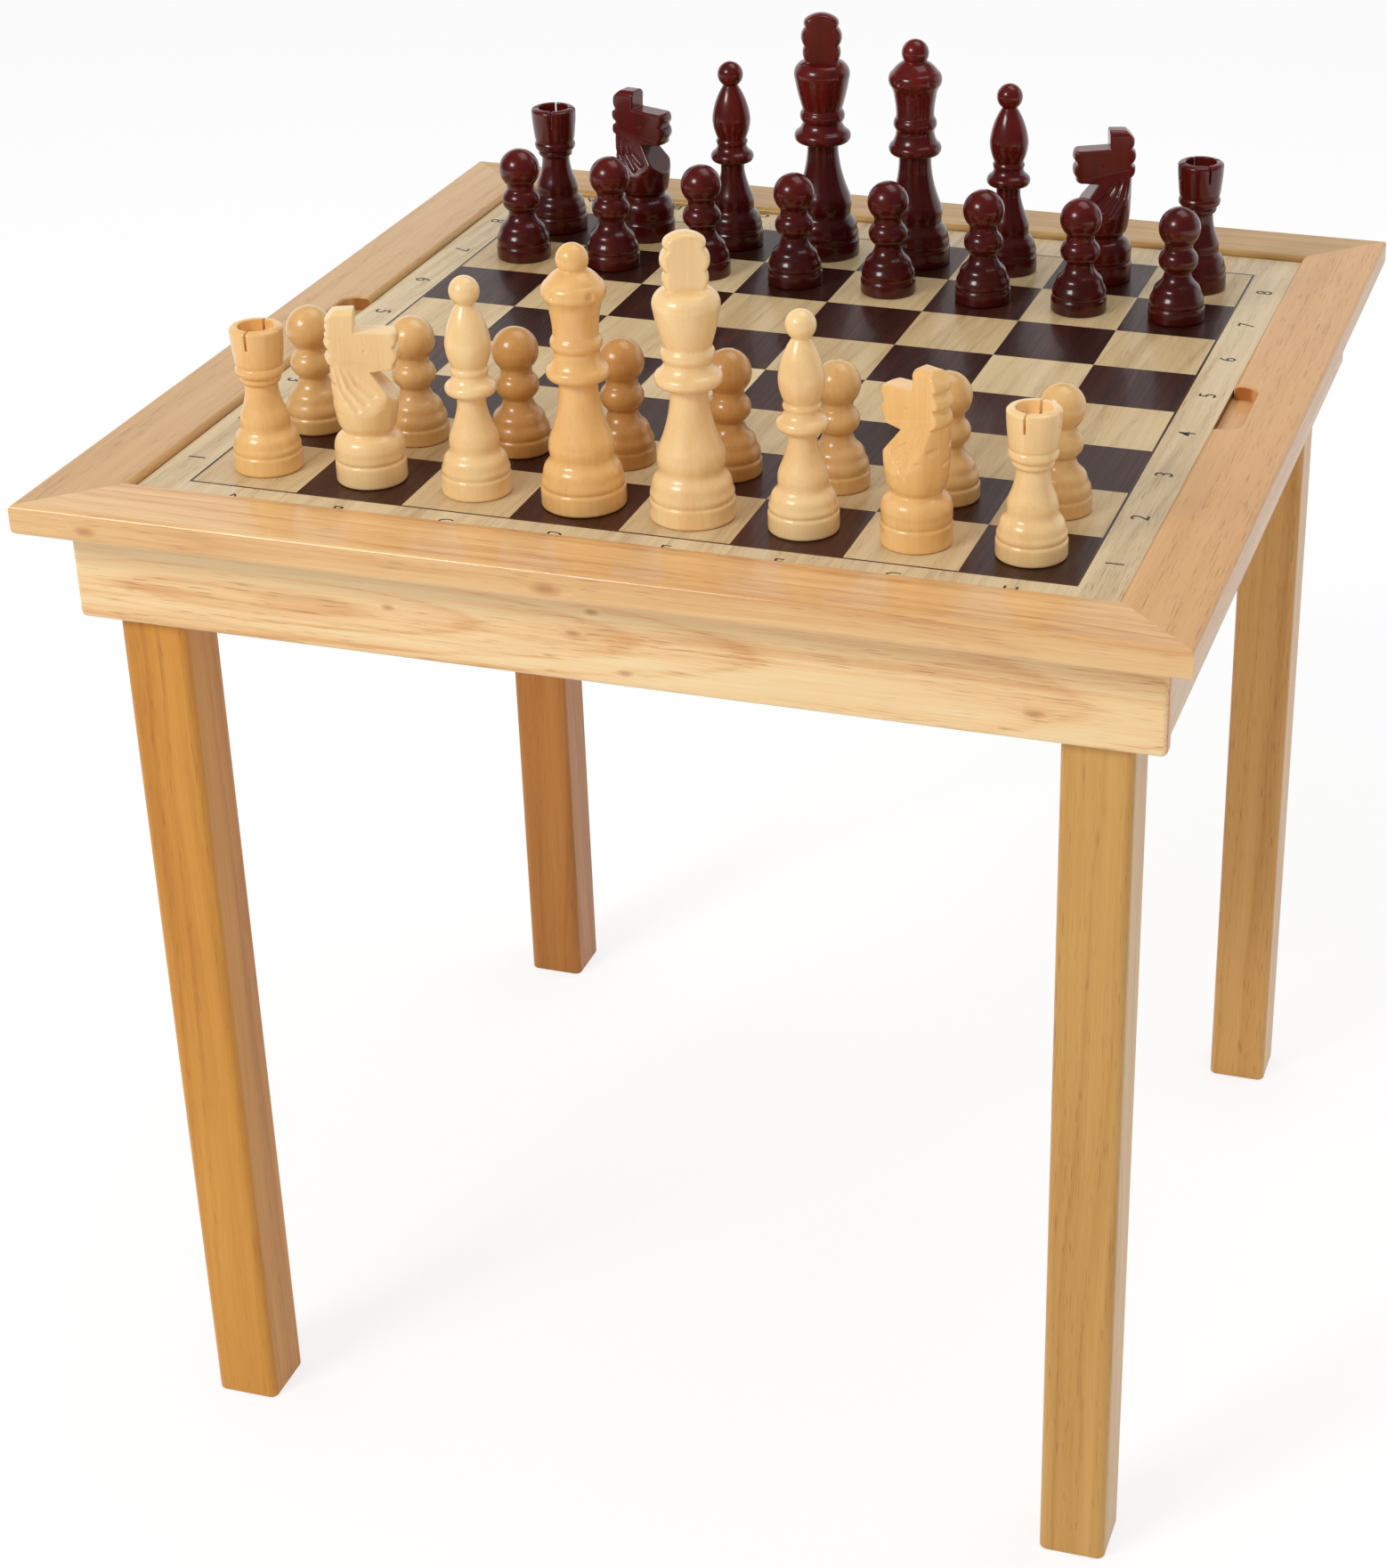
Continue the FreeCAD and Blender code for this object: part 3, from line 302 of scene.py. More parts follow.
APRONS = {
    "apron_front": dict(colors=((255, 234, 186), (250, 211, 154), (222, 162, 100)), along=ALONG_X,
                        pith=(0.02, 0.004), lean=(0.1, 0.0), streaks=0.6, patch=0.1,
                        knots=((-0.096, 0.0, 0.0018), (-0.011, -0.001, 0.0022),
                               (-0.002, 0.01, 0.002), (0.012, -0.017, 0.002),
                               (0.191, -0.011, 0.0026))),
    "apron_back": dict(colors=((246, 214, 156), (232, 190, 128), (206, 152, 92)), along=ALONG_X,
                       shift=(0.5, 0, 0), pith=(0.04, 0.01), lean=(-0.06, 0.0)),
    "apron_left": dict(colors=((240, 204, 146), (224, 182, 122), (200, 148, 92)), along=ALONG_Y,
                       shift=(0.2, 0, 0), pith=(0.05, 0.02), lean=(0.05, 0.0)),
    "apron_right": dict(colors=((234, 192, 138), (218, 170, 116), (196, 142, 92)), along=ALONG_Y,
                        shift=(0.7, 0, 0), pith=(0.05, 0.01), lean=(0.05, 0.0)),
}
for name, look in APRONS.items():
    dress(name, wood(name + "_wood", pore=FRAME_PORE, ring=0.008, contrast=0.3,
                     coat=0.3, gloss=0.3, middle=centre(name), **look))

LEGS = {
    "leg_front_left": dict(colors=((230, 166, 78), (212, 146, 60), (184, 116, 42)),
                           shift=(0, 0, 0)),
    "leg_front_right": dict(colors=((226, 178, 106), (210, 160, 88), (188, 134, 66)),
                            shift=(0.7, 0, 0)),
    "leg_back_left": dict(colors=((206, 144, 74), (186, 122, 56), (158, 96, 40)),
                          shift=(1.4, 0, 0)),
    "leg_back_right": dict(colors=((234, 184, 116), (219, 166, 97), (194, 138, 72)),
                           shift=(2.1, 0, 0)),
}
for name, look in LEGS.items():
    dress(name, wood(name + "_wood", pore=(150, 92, 44), along=ALONG_Z, ring=0.011,
                     contrast=0.2, pith=(0.03, 0.035), lean=(0.02, 0.015), streaks=0.38,
                     patch=0.3, coat=0.15, gloss=0.2, middle=centre(name), **look))

BLOCK_WOOD = wood("corner_block_wood", ((226, 186, 132), (210, 166, 112), (192, 146, 92)),
                  FRAME_PORE, ring=0.005)
for corner in ("front_left", "front_right", "back_left", "back_right"):
    dress("corner_block_" + corner, BLOCK_WOOD)

dress("floor_panel", wood("floor_panel_ply", ((232, 204, 158), (220, 188, 138), (206, 170, 118)),
                          (150, 110, 70), ring=0.02, contrast=0.6, pith=(0.3, 0.15),
                          lean=(0.2, 0.05), coat=0, rough=0.55))
dress("board_core", wood("board_core_fibre", ((196, 164, 118), (184, 150, 104), (170, 136, 92)),
                         (120, 90, 60), ring=0.03, contrast=0.1, streaks=0.2, pores=0.2, coat=0,
                         rough=0.6))

# The board's top, and how far the field of squares lies off its middle.
BOARD_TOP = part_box("border_veneer")[1].z
FIELD_Y = round(centre("stringing").y, 5)
VENEER = dict(along=ALONG_Y, middle=(0, 0, BOARD_TOP), pith=(0.5, 0.3), lean=(0.1, 0.0),
              rough=0.38, coat=0.12, gloss=0.3)
VENEER_PORE = (128, 96, 64)
PALE_VENEER = ((226, 202, 156), (210, 182, 136), (184, 152, 106))
BORDER_VENEER = ((234, 214, 174), (219, 196, 156), (192, 164, 122))
dress("border_veneer", wood("border_veneer_wood", BORDER_VENEER, VENEER_PORE, ring=0.012,
                            contrast=0.25, **VENEER))
dress("light_squares", wood("light_squares_wood", PALE_VENEER, VENEER_PORE, shift=(3, 0, 0),
                            ring=0.013, contrast=0.25, streaks=0.4, pores=0.35, squares=0.5,
                            patch=0.35, **VENEER))
dress("dark_squares", wood("dark_squares_wood", ((78, 36, 22), (57, 22, 11), (37, 13, 7)),
                           (20, 11, 9), shift=(5, 0, 0), ring=0.012, contrast=0.2,
                           squares=0.3, **VENEER))
dress("stringing", wood("stringing_wood", ((84, 46, 36), (70, 38, 29), (50, 26, 20)),
                        (30, 16, 12), ring=0.01, streaks=0.4, coat=0.1, gloss=0.3))
dress("dowels", wood("dowel_beech_wood", ((222, 184, 134), (208, 166, 116), (196, 150, 100)),
                     FRAME_PORE, ring=0.003))


def zinc(name):
    """Bright zinc plate: grey crystals of slightly different shine."""
    s = Shader(name)
    grain = s.noise(s.place(), scale=900, detail=3)
    tone = s.span(grain, 0.3, 0.7)
    color = s.mix(tone, rgb(176, 180, 184), rgb(214, 216, 216))
    return s.surface(color=color, rough=s.span(grain, 0.3, 0.7, 0.26, 0.42), metal=1.0,
                     normal=s.bump(grain, 0.00002))


ZINC = zinc("zinc_plate")
for name in ("hanger_bolts", "washers", "nuts"):
    dress(name, ZINC)

# Tone differs by blank; pawns c, d, e are a darker copy and the foot darkens, both painted shade.
# Painted shade: the shaded pawns' colours are a darker copy of the light pawns'.
SHADED_PAWN = ((232, 180, 110), (212, 154, 84), (180, 122, 58))
LIGHT_PAWN = ((252, 212, 146), (238, 188, 118), (206, 150, 84))
LIGHT_MAN = ((255, 228, 170), (251, 211, 150), (232, 182, 116))
GOLDEN_MAN = ((255, 216, 146), (244, 192, 120), (222, 162, 90))
DARK_MAN = ((126, 24, 14), (98, 14, 8), (60, 9, 6))
SHADED_PAWNS = ("light_pawn_c", "light_pawn_d", "light_pawn_e")
GOLDEN_MEN = ("light_knight_g", "light_rook_a", "light_queen")
PALE_LACQUER = dict(pore=(176, 120, 66), grain_swing=0.42, rough=0.34, coat=0.6,
                    coat_rough=0.14, gloss=0.4)
# The dark men's foot sets the painted shade towards their foot.
DARK_LACQUER = dict(pore=(16, 6, 5), grain_swing=0.5, rough=0.34, coat=0.65, coat_rough=0.12,
                    gloss=0.25, foot=0.5)
# How bright the painted shade leaves a pawn's foot.
PAWN_FOOT_SHADE = 0.85


def man_look(name):
    """A man's colours and lacquer."""
    if name.startswith("dark"):
        return dict(DARK_LACQUER, colors=DARK_MAN)
    if "pawn" in name:
        colors = SHADED_PAWN if name in SHADED_PAWNS else LIGHT_PAWN
        return dict(PALE_LACQUER, colors=colors, foot=PAWN_FOOT_SHADE)
    return dict(PALE_LACQUER, colors=GOLDEN_MAN if name in GOLDEN_MEN else LIGHT_MAN)


MEN = [name for name in NODES if name.startswith(("light_", "dark_")) and "squares" not in name]
finishes = {}
for number, name in enumerate(sorted(MEN)):
    shift = (0.37 * number, 0.11 * number, 0.07 * number)
    finishes[name] = turned_wood(name + "_lacquer", shift=shift, **man_look(name))
    dress(name, finishes[name])

# ---------------------------------------------------------------- turned and carved men

MM = 0.001
# How far a turned corner is eased, in mm: at a man's crisp beads, and at its soft waist.
CRISP = 0.35
SOFT = 1.0


def square_middle(name):
    """The middle of the square that a man stands on, at the height of its foot."""
    low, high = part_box(name)
    middle = (low + high) / 2
    x = (math.floor(middle.x / SQUARE) + 0.5) * SQUARE
    y = (math.floor((middle.y - FIELD_Y) / SQUARE) + 0.5) * SQUARE + FIELD_Y
    return x, y, low.z


def eased(outline, ease, step):
    """The outline with its corners eased, ease being the spread in mm."""
    reach = int(3 * ease / step)
    weights = np.exp(-((np.arange(-reach, reach + 1) * step / ease) ** 2) / 2)
    weights /= weights.sum()
    mirrored = outline * (-1, 1)
    padded = np.concatenate([mirrored[reach:0:-1], outline, mirrored[-2:-reach - 2:-1]])
    soft = np.stack([np.convolve(padded[:, axis], weights, "valid") for axis in (0, 1)], 1)
    soft[0, 0] = soft[-1, 0] = 0
    return soft


def sunken(stops, number, reach=6.0, depth=3.2):
    """Whether a stop lies deep between wider ones: a well's floor and not the outer wall."""
    radius, level = stops[number]
    below = stops[(stops[:, 1] < level) & (stops[:, 1] > level - reach), 0]
    above = stops[(stops[:, 1] > level) & (stops[:, 1] < level + reach), 0]
    return bool(len(below) and len(above) and radius < min(below.max(), above.max()) - depth)


def turned_outline(name, waist=(11, 30), step=0.15):
    """The turned outline of a CAD man, foot to top, in mm, eased most about its waist.

    A level counts where five or more corners share its widest radius, so flats and nicks don't.
    """
    middle = square_middle(name)
    points = np.array([vertex.co for vertex in NODES[name].data.vertices])
    points = (points - middle) / MM
    radii = np.hypot(points[:, 0], points[:, 1])
    levels = np.round(points[:, 2], 2)
    stops = [(0.0, 0.0)]
    for level in np.unique(levels):
        ring = radii[levels == level]
        if (ring > ring.max() - 0.03).sum() >= 5:
            stops.append((ring.max(), level))
    stops.append((0.0, levels.max()))
    stops = np.array(stops)
    stops = stops[[not sunken(stops, number) for number in range(len(stops))]]
    along = np.append(0, np.cumsum(np.hypot(*np.diff(stops, axis=0).T)))
    even = np.linspace(0, along[-1], int(along[-1] / step))
    outline = np.stack([np.interp(even, along, stops[:, axis]) for axis in (0, 1)], 1)
    crisp, soft = eased(outline, CRISP, step), eased(outline, SOFT, step)
    low, high = waist
    share = np.clip((outline[:, 1] - low) / 2, 0, 1) * np.clip((high - outline[:, 1]) / 4, 0, 1)
    return crisp + (soft - crisp) * share[:, None]


def outline_distance(outline, radius, height):
    """Signed distance from points to a turned outline, less than 0 inside, by a fine table."""
    cell = 0.25
    across = np.arange(0, radius.max() + 2 * cell, cell)
    upward = np.arange(height.min() - cell, height.max() + 2 * cell, cell)
    table = np.full((len(across), len(upward)), np.inf)
    grid_r, grid_z = np.meshgrid(across, upward, indexing="ij")
    starts, runs = outline[:-1], np.diff(outline, axis=0)
    for (start_r, start_z), (run_r, run_z) in zip(starts, runs):
        off_r, off_z = grid_r - start_r, grid_z - start_z
        part = np.clip((off_r * run_r + off_z * run_z) / (run_r ** 2 + run_z ** 2 + 1e-12), 0, 1)
        table = np.minimum(table, np.hypot(off_r - part * run_r, off_z - part * run_z))
    order = np.argsort(outline[:, 1], kind="stable")
    edge = np.interp(upward, outline[order, 1], outline[order, 0])
    edge[(upward < outline[:, 1].min()) | (upward > outline[:, 1].max())] = -1
    table[grid_r < edge] *= -1
    at_r, at_z = radius / cell, (height - upward[0]) / cell
    low_r, low_z = at_r.astype(int), at_z.astype(int)
    part_r, part_z = at_r - low_r, at_z - low_z
    near = table[low_r, low_z] * (1 - part_z) + table[low_r, low_z + 1] * part_z
    far = table[low_r + 1, low_z] * (1 - part_z) + table[low_r + 1, low_z + 1] * part_z
    return near * (1 - part_r) + far * part_r


def smooth_max(first, second, blend):
    """What both solids share, with a fillet of about blend where they cross."""
    gap = np.clip(blend - np.abs(first - second), 0, None) / blend
    return np.maximum(first, second) + gap ** 2 * blend / 4


def cut(solid, tool, blend):
    """The solid without the tool, its new edge eased by about blend."""
    return smooth_max(solid, -tool, blend)


def rod(points, start, end, radius):
    """Distance to a round-ended rod."""
    start, run = np.array(start), np.subtract(end, start)
    off = [points[axis] - start[axis] for axis in range(3)]
    part = np.clip(sum(off[axis] * run[axis] for axis in range(3)) / (run @ run + 1e-9), 0, 1)
    return np.sqrt(sum((off[axis] - part * run[axis]) ** 2 for axis in range(3))) - radius


def block(half, top, cell):
    """Points of a cubic grid round a man that stands on the origin, in mm."""
    across = np.arange(-half, half + cell, cell)
    upward = np.arange(-3 * cell, top + 3 * cell, cell)
    return np.meshgrid(across, across, upward, indexing="ij")


def skin(field, points):
    """A closed mesh where the field changes sign: one vertex in each cell, one face an edge."""
    size = np.array(field.shape)
    start = np.array([axis[0, 0, 0] for axis in points])
    cell = points[2][0, 0, 1] - points[2][0, 0, 0]
    cells, spots, faces = [], [], []
    for axis in range(3):
        step = np.eye(3, dtype=int)[axis]
        near = field[tuple(slice(0, end - move) for end, move in zip(size, step))]
        far = field[tuple(slice(move, end) for end, move in zip(size, step))]
        edges = np.argwhere((near < 0) != (far < 0))
        first, last = near[tuple(edges.T)], far[tuple(edges.T)]
        crossing = edges + step * (first / (first - last))[:, None]
        side, other = np.roll(step, 1), np.roll(step, 2)
        round_edge = (edges - side - other, edges - other, edges, edges - side)
        keys = [np.ravel_multi_index(corner.T, size) for corner in round_edge]
        quads = np.stack(keys, 1)
        outward = first < 0
        faces.append(np.where(outward[:, None], quads, quads[:, ::-1]))
        cells += keys
        spots += [crossing] * 4
    keys, place, count = np.unique(np.concatenate(cells), return_inverse=True, return_counts=True)
    spots = np.concatenate(spots)
    middles = np.stack([np.bincount(place, spots[:, axis]) for axis in range(3)], 1)
    corners = start + middles / count[:, None] * cell
    return corners, np.searchsorted(keys, np.concatenate(faces))


def make_mesh(name, corners, faces, material):
    """A smooth mesh of one material from corners in mm."""
    mesh = bpy.data.meshes.new(name)
    mesh.from_pydata((corners * MM).tolist(), [], [tuple(face) for face in faces])
    mesh.materials.append(material)
    mesh.shade_smooth()
    mesh.validate()
    return mesh


def stand(name, mesh, turn):
    """Stands a detailed man in the place of its CAD solid."""
    man = bpy.data.objects.new(name + "_carved", mesh)
    man.location = square_middle(name)
    man.rotation_euler.z = math.radians(turn)
    bpy.context.scene.collection.objects.link(man)
    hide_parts(name)
    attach(man, name + "_body")


def flank(x, z):
    """Half the knight's thickness at its flats, which flare towards the foot."""
    return 5.8 + 8.4 * np.clip((56 - z - 0.22 * x) / 22, 0, 1.2) ** 1.2


# Where a knight is cut, in mm from the middle of its foot: first forward, last up.
NICK_RADIUS = 15.6
NICK_SIZE = 1.35
NICKS_BEHIND = -8.5
MOUTH = (16.4, 62.0)
MOUTH_SIZE = 2.1
FOREHEAD = (-2.4, 69.2)
BREAST = (3.4, 51.4)
EYE = (1.4, 6.3, 60.8)
EYE_SIZE = 0.9
# Where the planes that chamfer the ears' sides and back meet the upright axis.
EAR_SIDES = 82.6
EAR_BACK = 89.4
# The gouged flutes on each flank: three points each, and how far the gouge stands off there.
FLUTES = (
    ((-11.5, 55.0), (-8.8, 45.5), (-2.5, 37.0)),
    ((-8.3, 53.5), (-5.2, 46.2), (1.2, 39.6)),
    ((-5.0, 52.0), (-1.8, 46.9), (4.6, 42.4)),
)
FLUTE_LIFTS = (1.3, 0.5, 0.7)
FLUTE_RADIUS = 1.6
# The short gouge marks round the bowl: the turn of each, in degrees, and its height.
GOUGES = ((-152, 46), (-118, 40), (-84, 31.5), (-140, 33), (-62, 37), (-170, 38.5), (158, 45),
          (124, 39.5), (92, 32), (138, 31), (66, 36))
GOUGE_AT = 15.5
GOUGE_HALF = 1.9
GOUGE_RADIUS = 1.75


def knight_field(outline, points, nicks):
    """The knight: a beaded blank, sawn flat on its sides, notched, gouged and punched."""
    x, y, z = points
    radius, side = np.hypot(x, y), np.abs(y)
    solid = outline_distance(outline, radius, z)
    for height in nicks:
        groove = np.hypot(radius - NICK_RADIUS, (z - height) * 1.15) - NICK_SIZE
        solid = cut(solid, np.maximum(groove, x - NICKS_BEHIND), 0.5)
    mouth_x, mouth_z = MOUTH
    mouth = np.hypot(x - mouth_x, (z - mouth_z) * 1.2) - MOUTH_SIZE
    solid = cut(solid, mouth, 0.6)
    half = flank(x, z)
    solid = smooth_max(solid, (side - half) * 0.93, 0.9)
    brow_x, brow_z = FOREHEAD
    forehead = np.maximum(brow_x - x + (z - 69) * 0.05, brow_z - 0.05 * x - z)
    solid = cut(solid, forehead, 0.8)
    breast_x, breast_z = BREAST
    breast = -(0.809 * (x - breast_x) + 0.587 * (z - breast_z))
    solid = cut(solid, np.maximum(z - breast_z - 0.07 * (x - breast_x), breast), 0.5)
    solid = smooth_max(solid, (side + z - EAR_SIDES) * 0.707, 0.7)
    solid = smooth_max(solid, (z - x - EAR_BACK) * 0.707, 0.7)
    for path in FLUTES:
        for hand in (-1, 1):
            start, middle, end = [(at_x, hand * (flank(at_x, at_z) + lift), at_z)
                                  for (at_x, at_z), lift in zip(path, FLUTE_LIFTS)]
            upper = rod(points, start, middle, FLUTE_RADIUS)
            lower = rod(points, middle, end, FLUTE_RADIUS)
            solid = cut(solid, np.minimum(upper, lower), 0.5)
    for turn, height in GOUGES:
        angle = math.radians(turn)
        out = np.array((math.cos(angle), math.sin(angle))) * GOUGE_AT
        run = np.array((-math.sin(angle), math.cos(angle))) * GOUGE_HALF
        gouge = rod(points, (*(out - run), height), (*(out + run), height + 0.4), GOUGE_RADIUS)
        solid = cut(solid, gouge, 0.6)
    for hand in (-1, 1):
        eye_x, eye_y, eye_z = EYE
        eye = np.sqrt((x - eye_x) ** 2 + (y - hand * eye_y) ** 2 + (z - eye_z) ** 2)
        solid = cut(solid, eye - EYE_SIZE, 0.3)
    return solid


# The kings' finial: half its thickness between the saw cuts, and the height where they end.
FINIAL_HALF = 5.0
FINIAL_FOOT = 101.9


def king_field(outline, points):
    """The king: a turned blank whose top three beads are sawn to a flat finial."""
    x, y, z = points
    solid = outline_distance(outline, np.hypot(x, y), z)
    return cut(solid, np.maximum(FINIAL_HALF - np.abs(y), FINIAL_FOOT - z), 1.1)


# The rooks' well, whose wall widens upwards, and the saw cuts across it.
WELL_RADIUS = 7.3
WELL_FLOOR = 60.3
SLIT_HALF = 0.42
SLIT_FLOOR = 57.5
# The dimples in the queens' crowns: the turn of the first, in degrees, and where it lies.
DIMPLES = 5
FIRST_DIMPLE = -39
DIMPLE_OUT = 15.3
DIMPLE_UP = 97.2
DIMPLE_RADIUS = 2.6


def rook_field(outline, points):
    """The rook: a turned blank with a well in its turret and two crossed saw cuts."""
    x, y, z = points
    radius = np.hypot(x, y)
    solid = outline_distance(outline, radius, z)
    well = radius - WELL_RADIUS - 0.1 * (z - 60)
    solid = cut(solid, np.maximum(well, WELL_FLOOR - z), 0.3)
    for across in (x, y):
        solid = cut(solid, np.maximum(np.abs(across) - SLIT_HALF, SLIT_FLOOR - z), 0.15)
    return solid


def queen_field(outline, points):
    """The queen: five round dimples in the rim of the crown."""
    x, y, z = points
    solid = outline_distance(outline, np.hypot(x, y), z)
    for number in range(DIMPLES):
        angle = math.radians(FIRST_DIMPLE + 360 / DIMPLES * number)
        off_x, off_y = x - DIMPLE_OUT * math.cos(angle), y - DIMPLE_OUT * math.sin(angle)
        away = np.sqrt(off_x ** 2 + off_y ** 2 + (z - DIMPLE_UP) ** 2)
        solid = cut(solid, away - DIMPLE_RADIUS, 0.4)
    return solid


# The grid's cell in mm, and half the width and the top of the block that each kind is cut from.
CELL = 0.38
BLOCKS = {"knight": (17.4, 79.2), "king": (19.4, 127.2), "rook": (16.4, 66.2),
          "queen": (19.4, 117.4)}

# How each knight is turned on its square, in degrees, and the heights of its nicks.
KNIGHTS = {
    "light_knight_b": (20, (54.2, 60.0, 66.2, 73.0)),
    "light_knight_g": (155, (54.2, 62.4, 70.0)),
    "dark_knight_b": (-12, (54.6, 61.4, 68.6)),
    "dark_knight_g": (200, (54.0, 61.0, 69.4)),
}
# How the other carved men are turned, in degrees.
KINGS = {"light_king": 30, "dark_king": 17}
ROOKS = {"light_rook_a": 1, "light_rook_h": -7, "dark_rook_a": 13, "dark_rook_h": 35}
QUEENS = {"light_queen": 0, "dark_queen": 0}

# A fuller bead and a deeper neck above it: the level, spread and swell of each, in mm.
KNIGHT_SWELLS = ((15.2, 2.6, 0.5), (22.8, 1.6, -0.5))
knight_outline = turned_outline("light_knight_b")
for level, spread, swell in KNIGHT_SWELLS:
    knight_outline[:, 0] += swell * np.exp(-((knight_outline[:, 1] - level) / spread) ** 2)
knight_block = block(*BLOCKS["knight"], CELL)
for name, (turn, nicks) in KNIGHTS.items():
    surface = skin(knight_field(knight_outline, knight_block, nicks), knight_block)
    stand(name, make_mesh(name + "_carved", *surface, finishes[name]), turn)

king_outline = turned_outline("light_king")
king_block = block(*BLOCKS["king"], CELL)
surface = skin(king_field(king_outline, king_block), king_block)
for name, turn in KINGS.items():
    stand(name, make_mesh(name + "_carved", *surface, finishes[name]), turn)

# Rooks and queens have little carving, so their grid is coarser.
COARSER = 1.1
for kind, turns, field in (("rook", ROOKS, rook_field), ("queen", QUEENS, queen_field)):
    model = next(iter(turns))
    points = block(*BLOCKS[kind], CELL * COARSER)
    surface = skin(field(turned_outline(model), points), points)
    for name, turn in turns.items():
        stand(name, make_mesh(name + "_carved", *surface, finishes[name]), turn)


# The sides of a lathed man, and the heights in mm between which its outline is eased most.
SIDES = 48
WAISTS = {"pawn": (11, 21), "bishop": (11, 30)}


def lathe(outline, sides, step=4):
    """A closed skin round the upright axis: rings of corners between two poles.

    Every fourth point of the fine outline makes a ring.
    """
    rings = outline[1:-1:step]
    turns = np.arange(sides) * 2 * math.pi / sides
    corners = np.stack([np.outer(rings[:, 0], np.cos(turns)), np.outer(rings[:, 0], np.sin(turns)),
                        np.outer(rings[:, 1], np.ones(sides))], 2).reshape(-1, 3)
    poles = np.array([(0, 0, outline[0, 1]), (0, 0, outline[-1, 1])])
    faces = []
    for ring in range(len(rings) - 1):
        for number in range(sides):
            following = (number + 1) % sides
            low, high = ring * sides, (ring + 1) * sides
            faces.append((low + number, low + following, high + following, high + number))
    first, last, top = len(corners), len(corners) + 1, (len(rings) - 1) * sides
    for number in range(sides):
        following = (number + 1) % sides
        faces.append((following, number, first))
        faces.append((top + number, top + following, last))
    return np.concatenate([corners, poles]), faces


for kind, model in (("pawn", "light_pawn_a"), ("bishop", "light_bishop_c")):
    surface = lathe(turned_outline(model, waist=WAISTS[kind]), SIDES)
    for name in MEN:
        if kind in name:
            stand(name, make_mesh(name + "_turned", *surface, finishes[name]), 0)

# ---------------------------------------------------------------- marks on the border

# How far from the board's middle the numbers and letters stand, and how they are drawn.
NUMBERS_AT = 0.2112
LETTERS_AT = 0.2178
LETTERS_TALL = 0.7
MARK_SIZE = 0.0119
MARK_WIDE = 0.9
MARK_BOLDER = 0.00004
MARK_THICK = 0.00002
MARK_LIFT = 0.00003


def ink(name):
    """Brown printing ink, a little thinner in places."""
    s = Shader(name)
    wear = s.noise(s.place(), scale=2600, detail=3)
    color = s.mix(s.span(wear, 0.35, 0.7), rgb(50, 34, 28), rgb(74, 54, 42))
    return s.surface(color=color, rough=s.span(wear, 0.3, 0.7, 0.34, 0.45))


def add_mark(build, text, x, y, turn, tall=1.0):
    """Adds one printed character to the mesh, a hair above the veneer."""
    curve = bpy.data.curves.new("mark", "FONT")
    curve.body = text
    curve.size = MARK_SIZE
    curve.align_x = "CENTER"
    curve.align_y = "CENTER"
    curve.offset = MARK_BOLDER
    curve.extrude = MARK_THICK
    sample = bpy.data.objects.new("mark", curve)
    bpy.context.scene.collection.objects.link(sample)
    bpy.context.view_layer.update()
    shape = bpy.data.meshes.new_from_object(sample)
    place = Matrix.Translation((x, y, BOARD_TOP + MARK_LIFT)) @ Matrix.Rotation(turn, 4, "Z")
    shape.transform(place @ Matrix.Diagonal((MARK_WIDE, tall, 1, 1)))
    build.from_mesh(shape)
    bpy.data.objects.remove(sample)


def make_marks():
    """The numbers of the rows along both sides, the letters of the files along the ends.

    Each is upright to someone who sits at its own side.
    """
    build = bmesh.new()
    for number, letter in enumerate("ABCDEFGH"):
        along = (number - 3.5) * SQUARE
        for side in (-1, 1):
            quarter = side * math.pi / 2
            add_mark(build, str(number + 1), side * NUMBERS_AT, along + FIELD_Y, quarter)
            add_mark(build, letter, along, side * LETTERS_AT, quarter + math.pi / 2, LETTERS_TALL)
    mesh = bpy.data.meshes.new("border_marks")
    build.to_mesh(mesh)
    build.free()
    mesh.materials.append(ink("mark_ink"))
    marks = bpy.data.objects.new("border_marks", mesh)
    bpy.context.scene.collection.objects.link(marks)
    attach(marks, "board")


make_marks()

# ---------------------------------------------------------------- studio

WHITE = (1, 1, 1, 1)
FLOOR_HALF = 6.0
# Seen directly, the floor is a steady glow plus a dim paper, which takes the shadows.
FLOOR_GLOW = 0.76
FLOOR_DIM = (0.3, 0.3, 0.3, 1)
# What lights the object from the world, and what its gloss sees of the room in front.
WORLD_LIGHT = (0.6, 0.6, 0.6, 1)
ROOM = 0.08
# The white backdrop in the gloss fades in towards the back and out towards the top.
BACKDROP_BEHIND = (0.1, 0.45)
BACKDROP_TOP = (0.34, 0.58)
TABLE_TOP = (0, 0, 0.5)


def seen_directly(s):
    """1 for camera, mirror and glass rays, else 0."""
    rays = s.node("LightPath", {}).outputs
    seen = s.math("MAXIMUM", rays["Is Camera Ray"], rays["Is Glossy Ray"])
    return s.math("MAXIMUM", seen, rays["Is Transmission Ray"])


def make_floor():
    """A pale paper floor, near white where it is seen directly, which keeps the shadows."""
    mesh = bpy.data.meshes.new("studio_floor")
    build = bmesh.new()
    bmesh.ops.create_grid(build, x_segments=24, y_segments=24, size=FLOOR_HALF)
    build.to_mesh(mesh)
    build.free()
    floor = bpy.data.objects.new("studio_floor", mesh)
    bpy.context.scene.collection.objects.link(floor)
    s = Shader("studio_floor_paper")
    seen = seen_directly(s)
    grain = s.noise(s.place(), scale=60, detail=3)
    own = s.mix(s.span(grain, 0.3, 0.7), (0.80, 0.80, 0.80, 1), (0.83, 0.83, 0.83, 1))
    paper = s.node("BsdfDiffuse", {"Color": own}).outputs[0]
    dim = s.node("BsdfDiffuse", {"Color": FLOOR_DIM}).outputs[0]
    glow = s.node("Emission", {"Color": WHITE, "Strength": FLOOR_GLOW}).outputs[0]
    shown = s.node("AddShader", {0: dim, 1: glow}).outputs[0]
    both = s.node("MixShader", {0: seen, 1: paper, 2: shown}).outputs[0]
    s.node("OutputMaterial", {"Surface": both})
    mesh.materials.append(s.material)


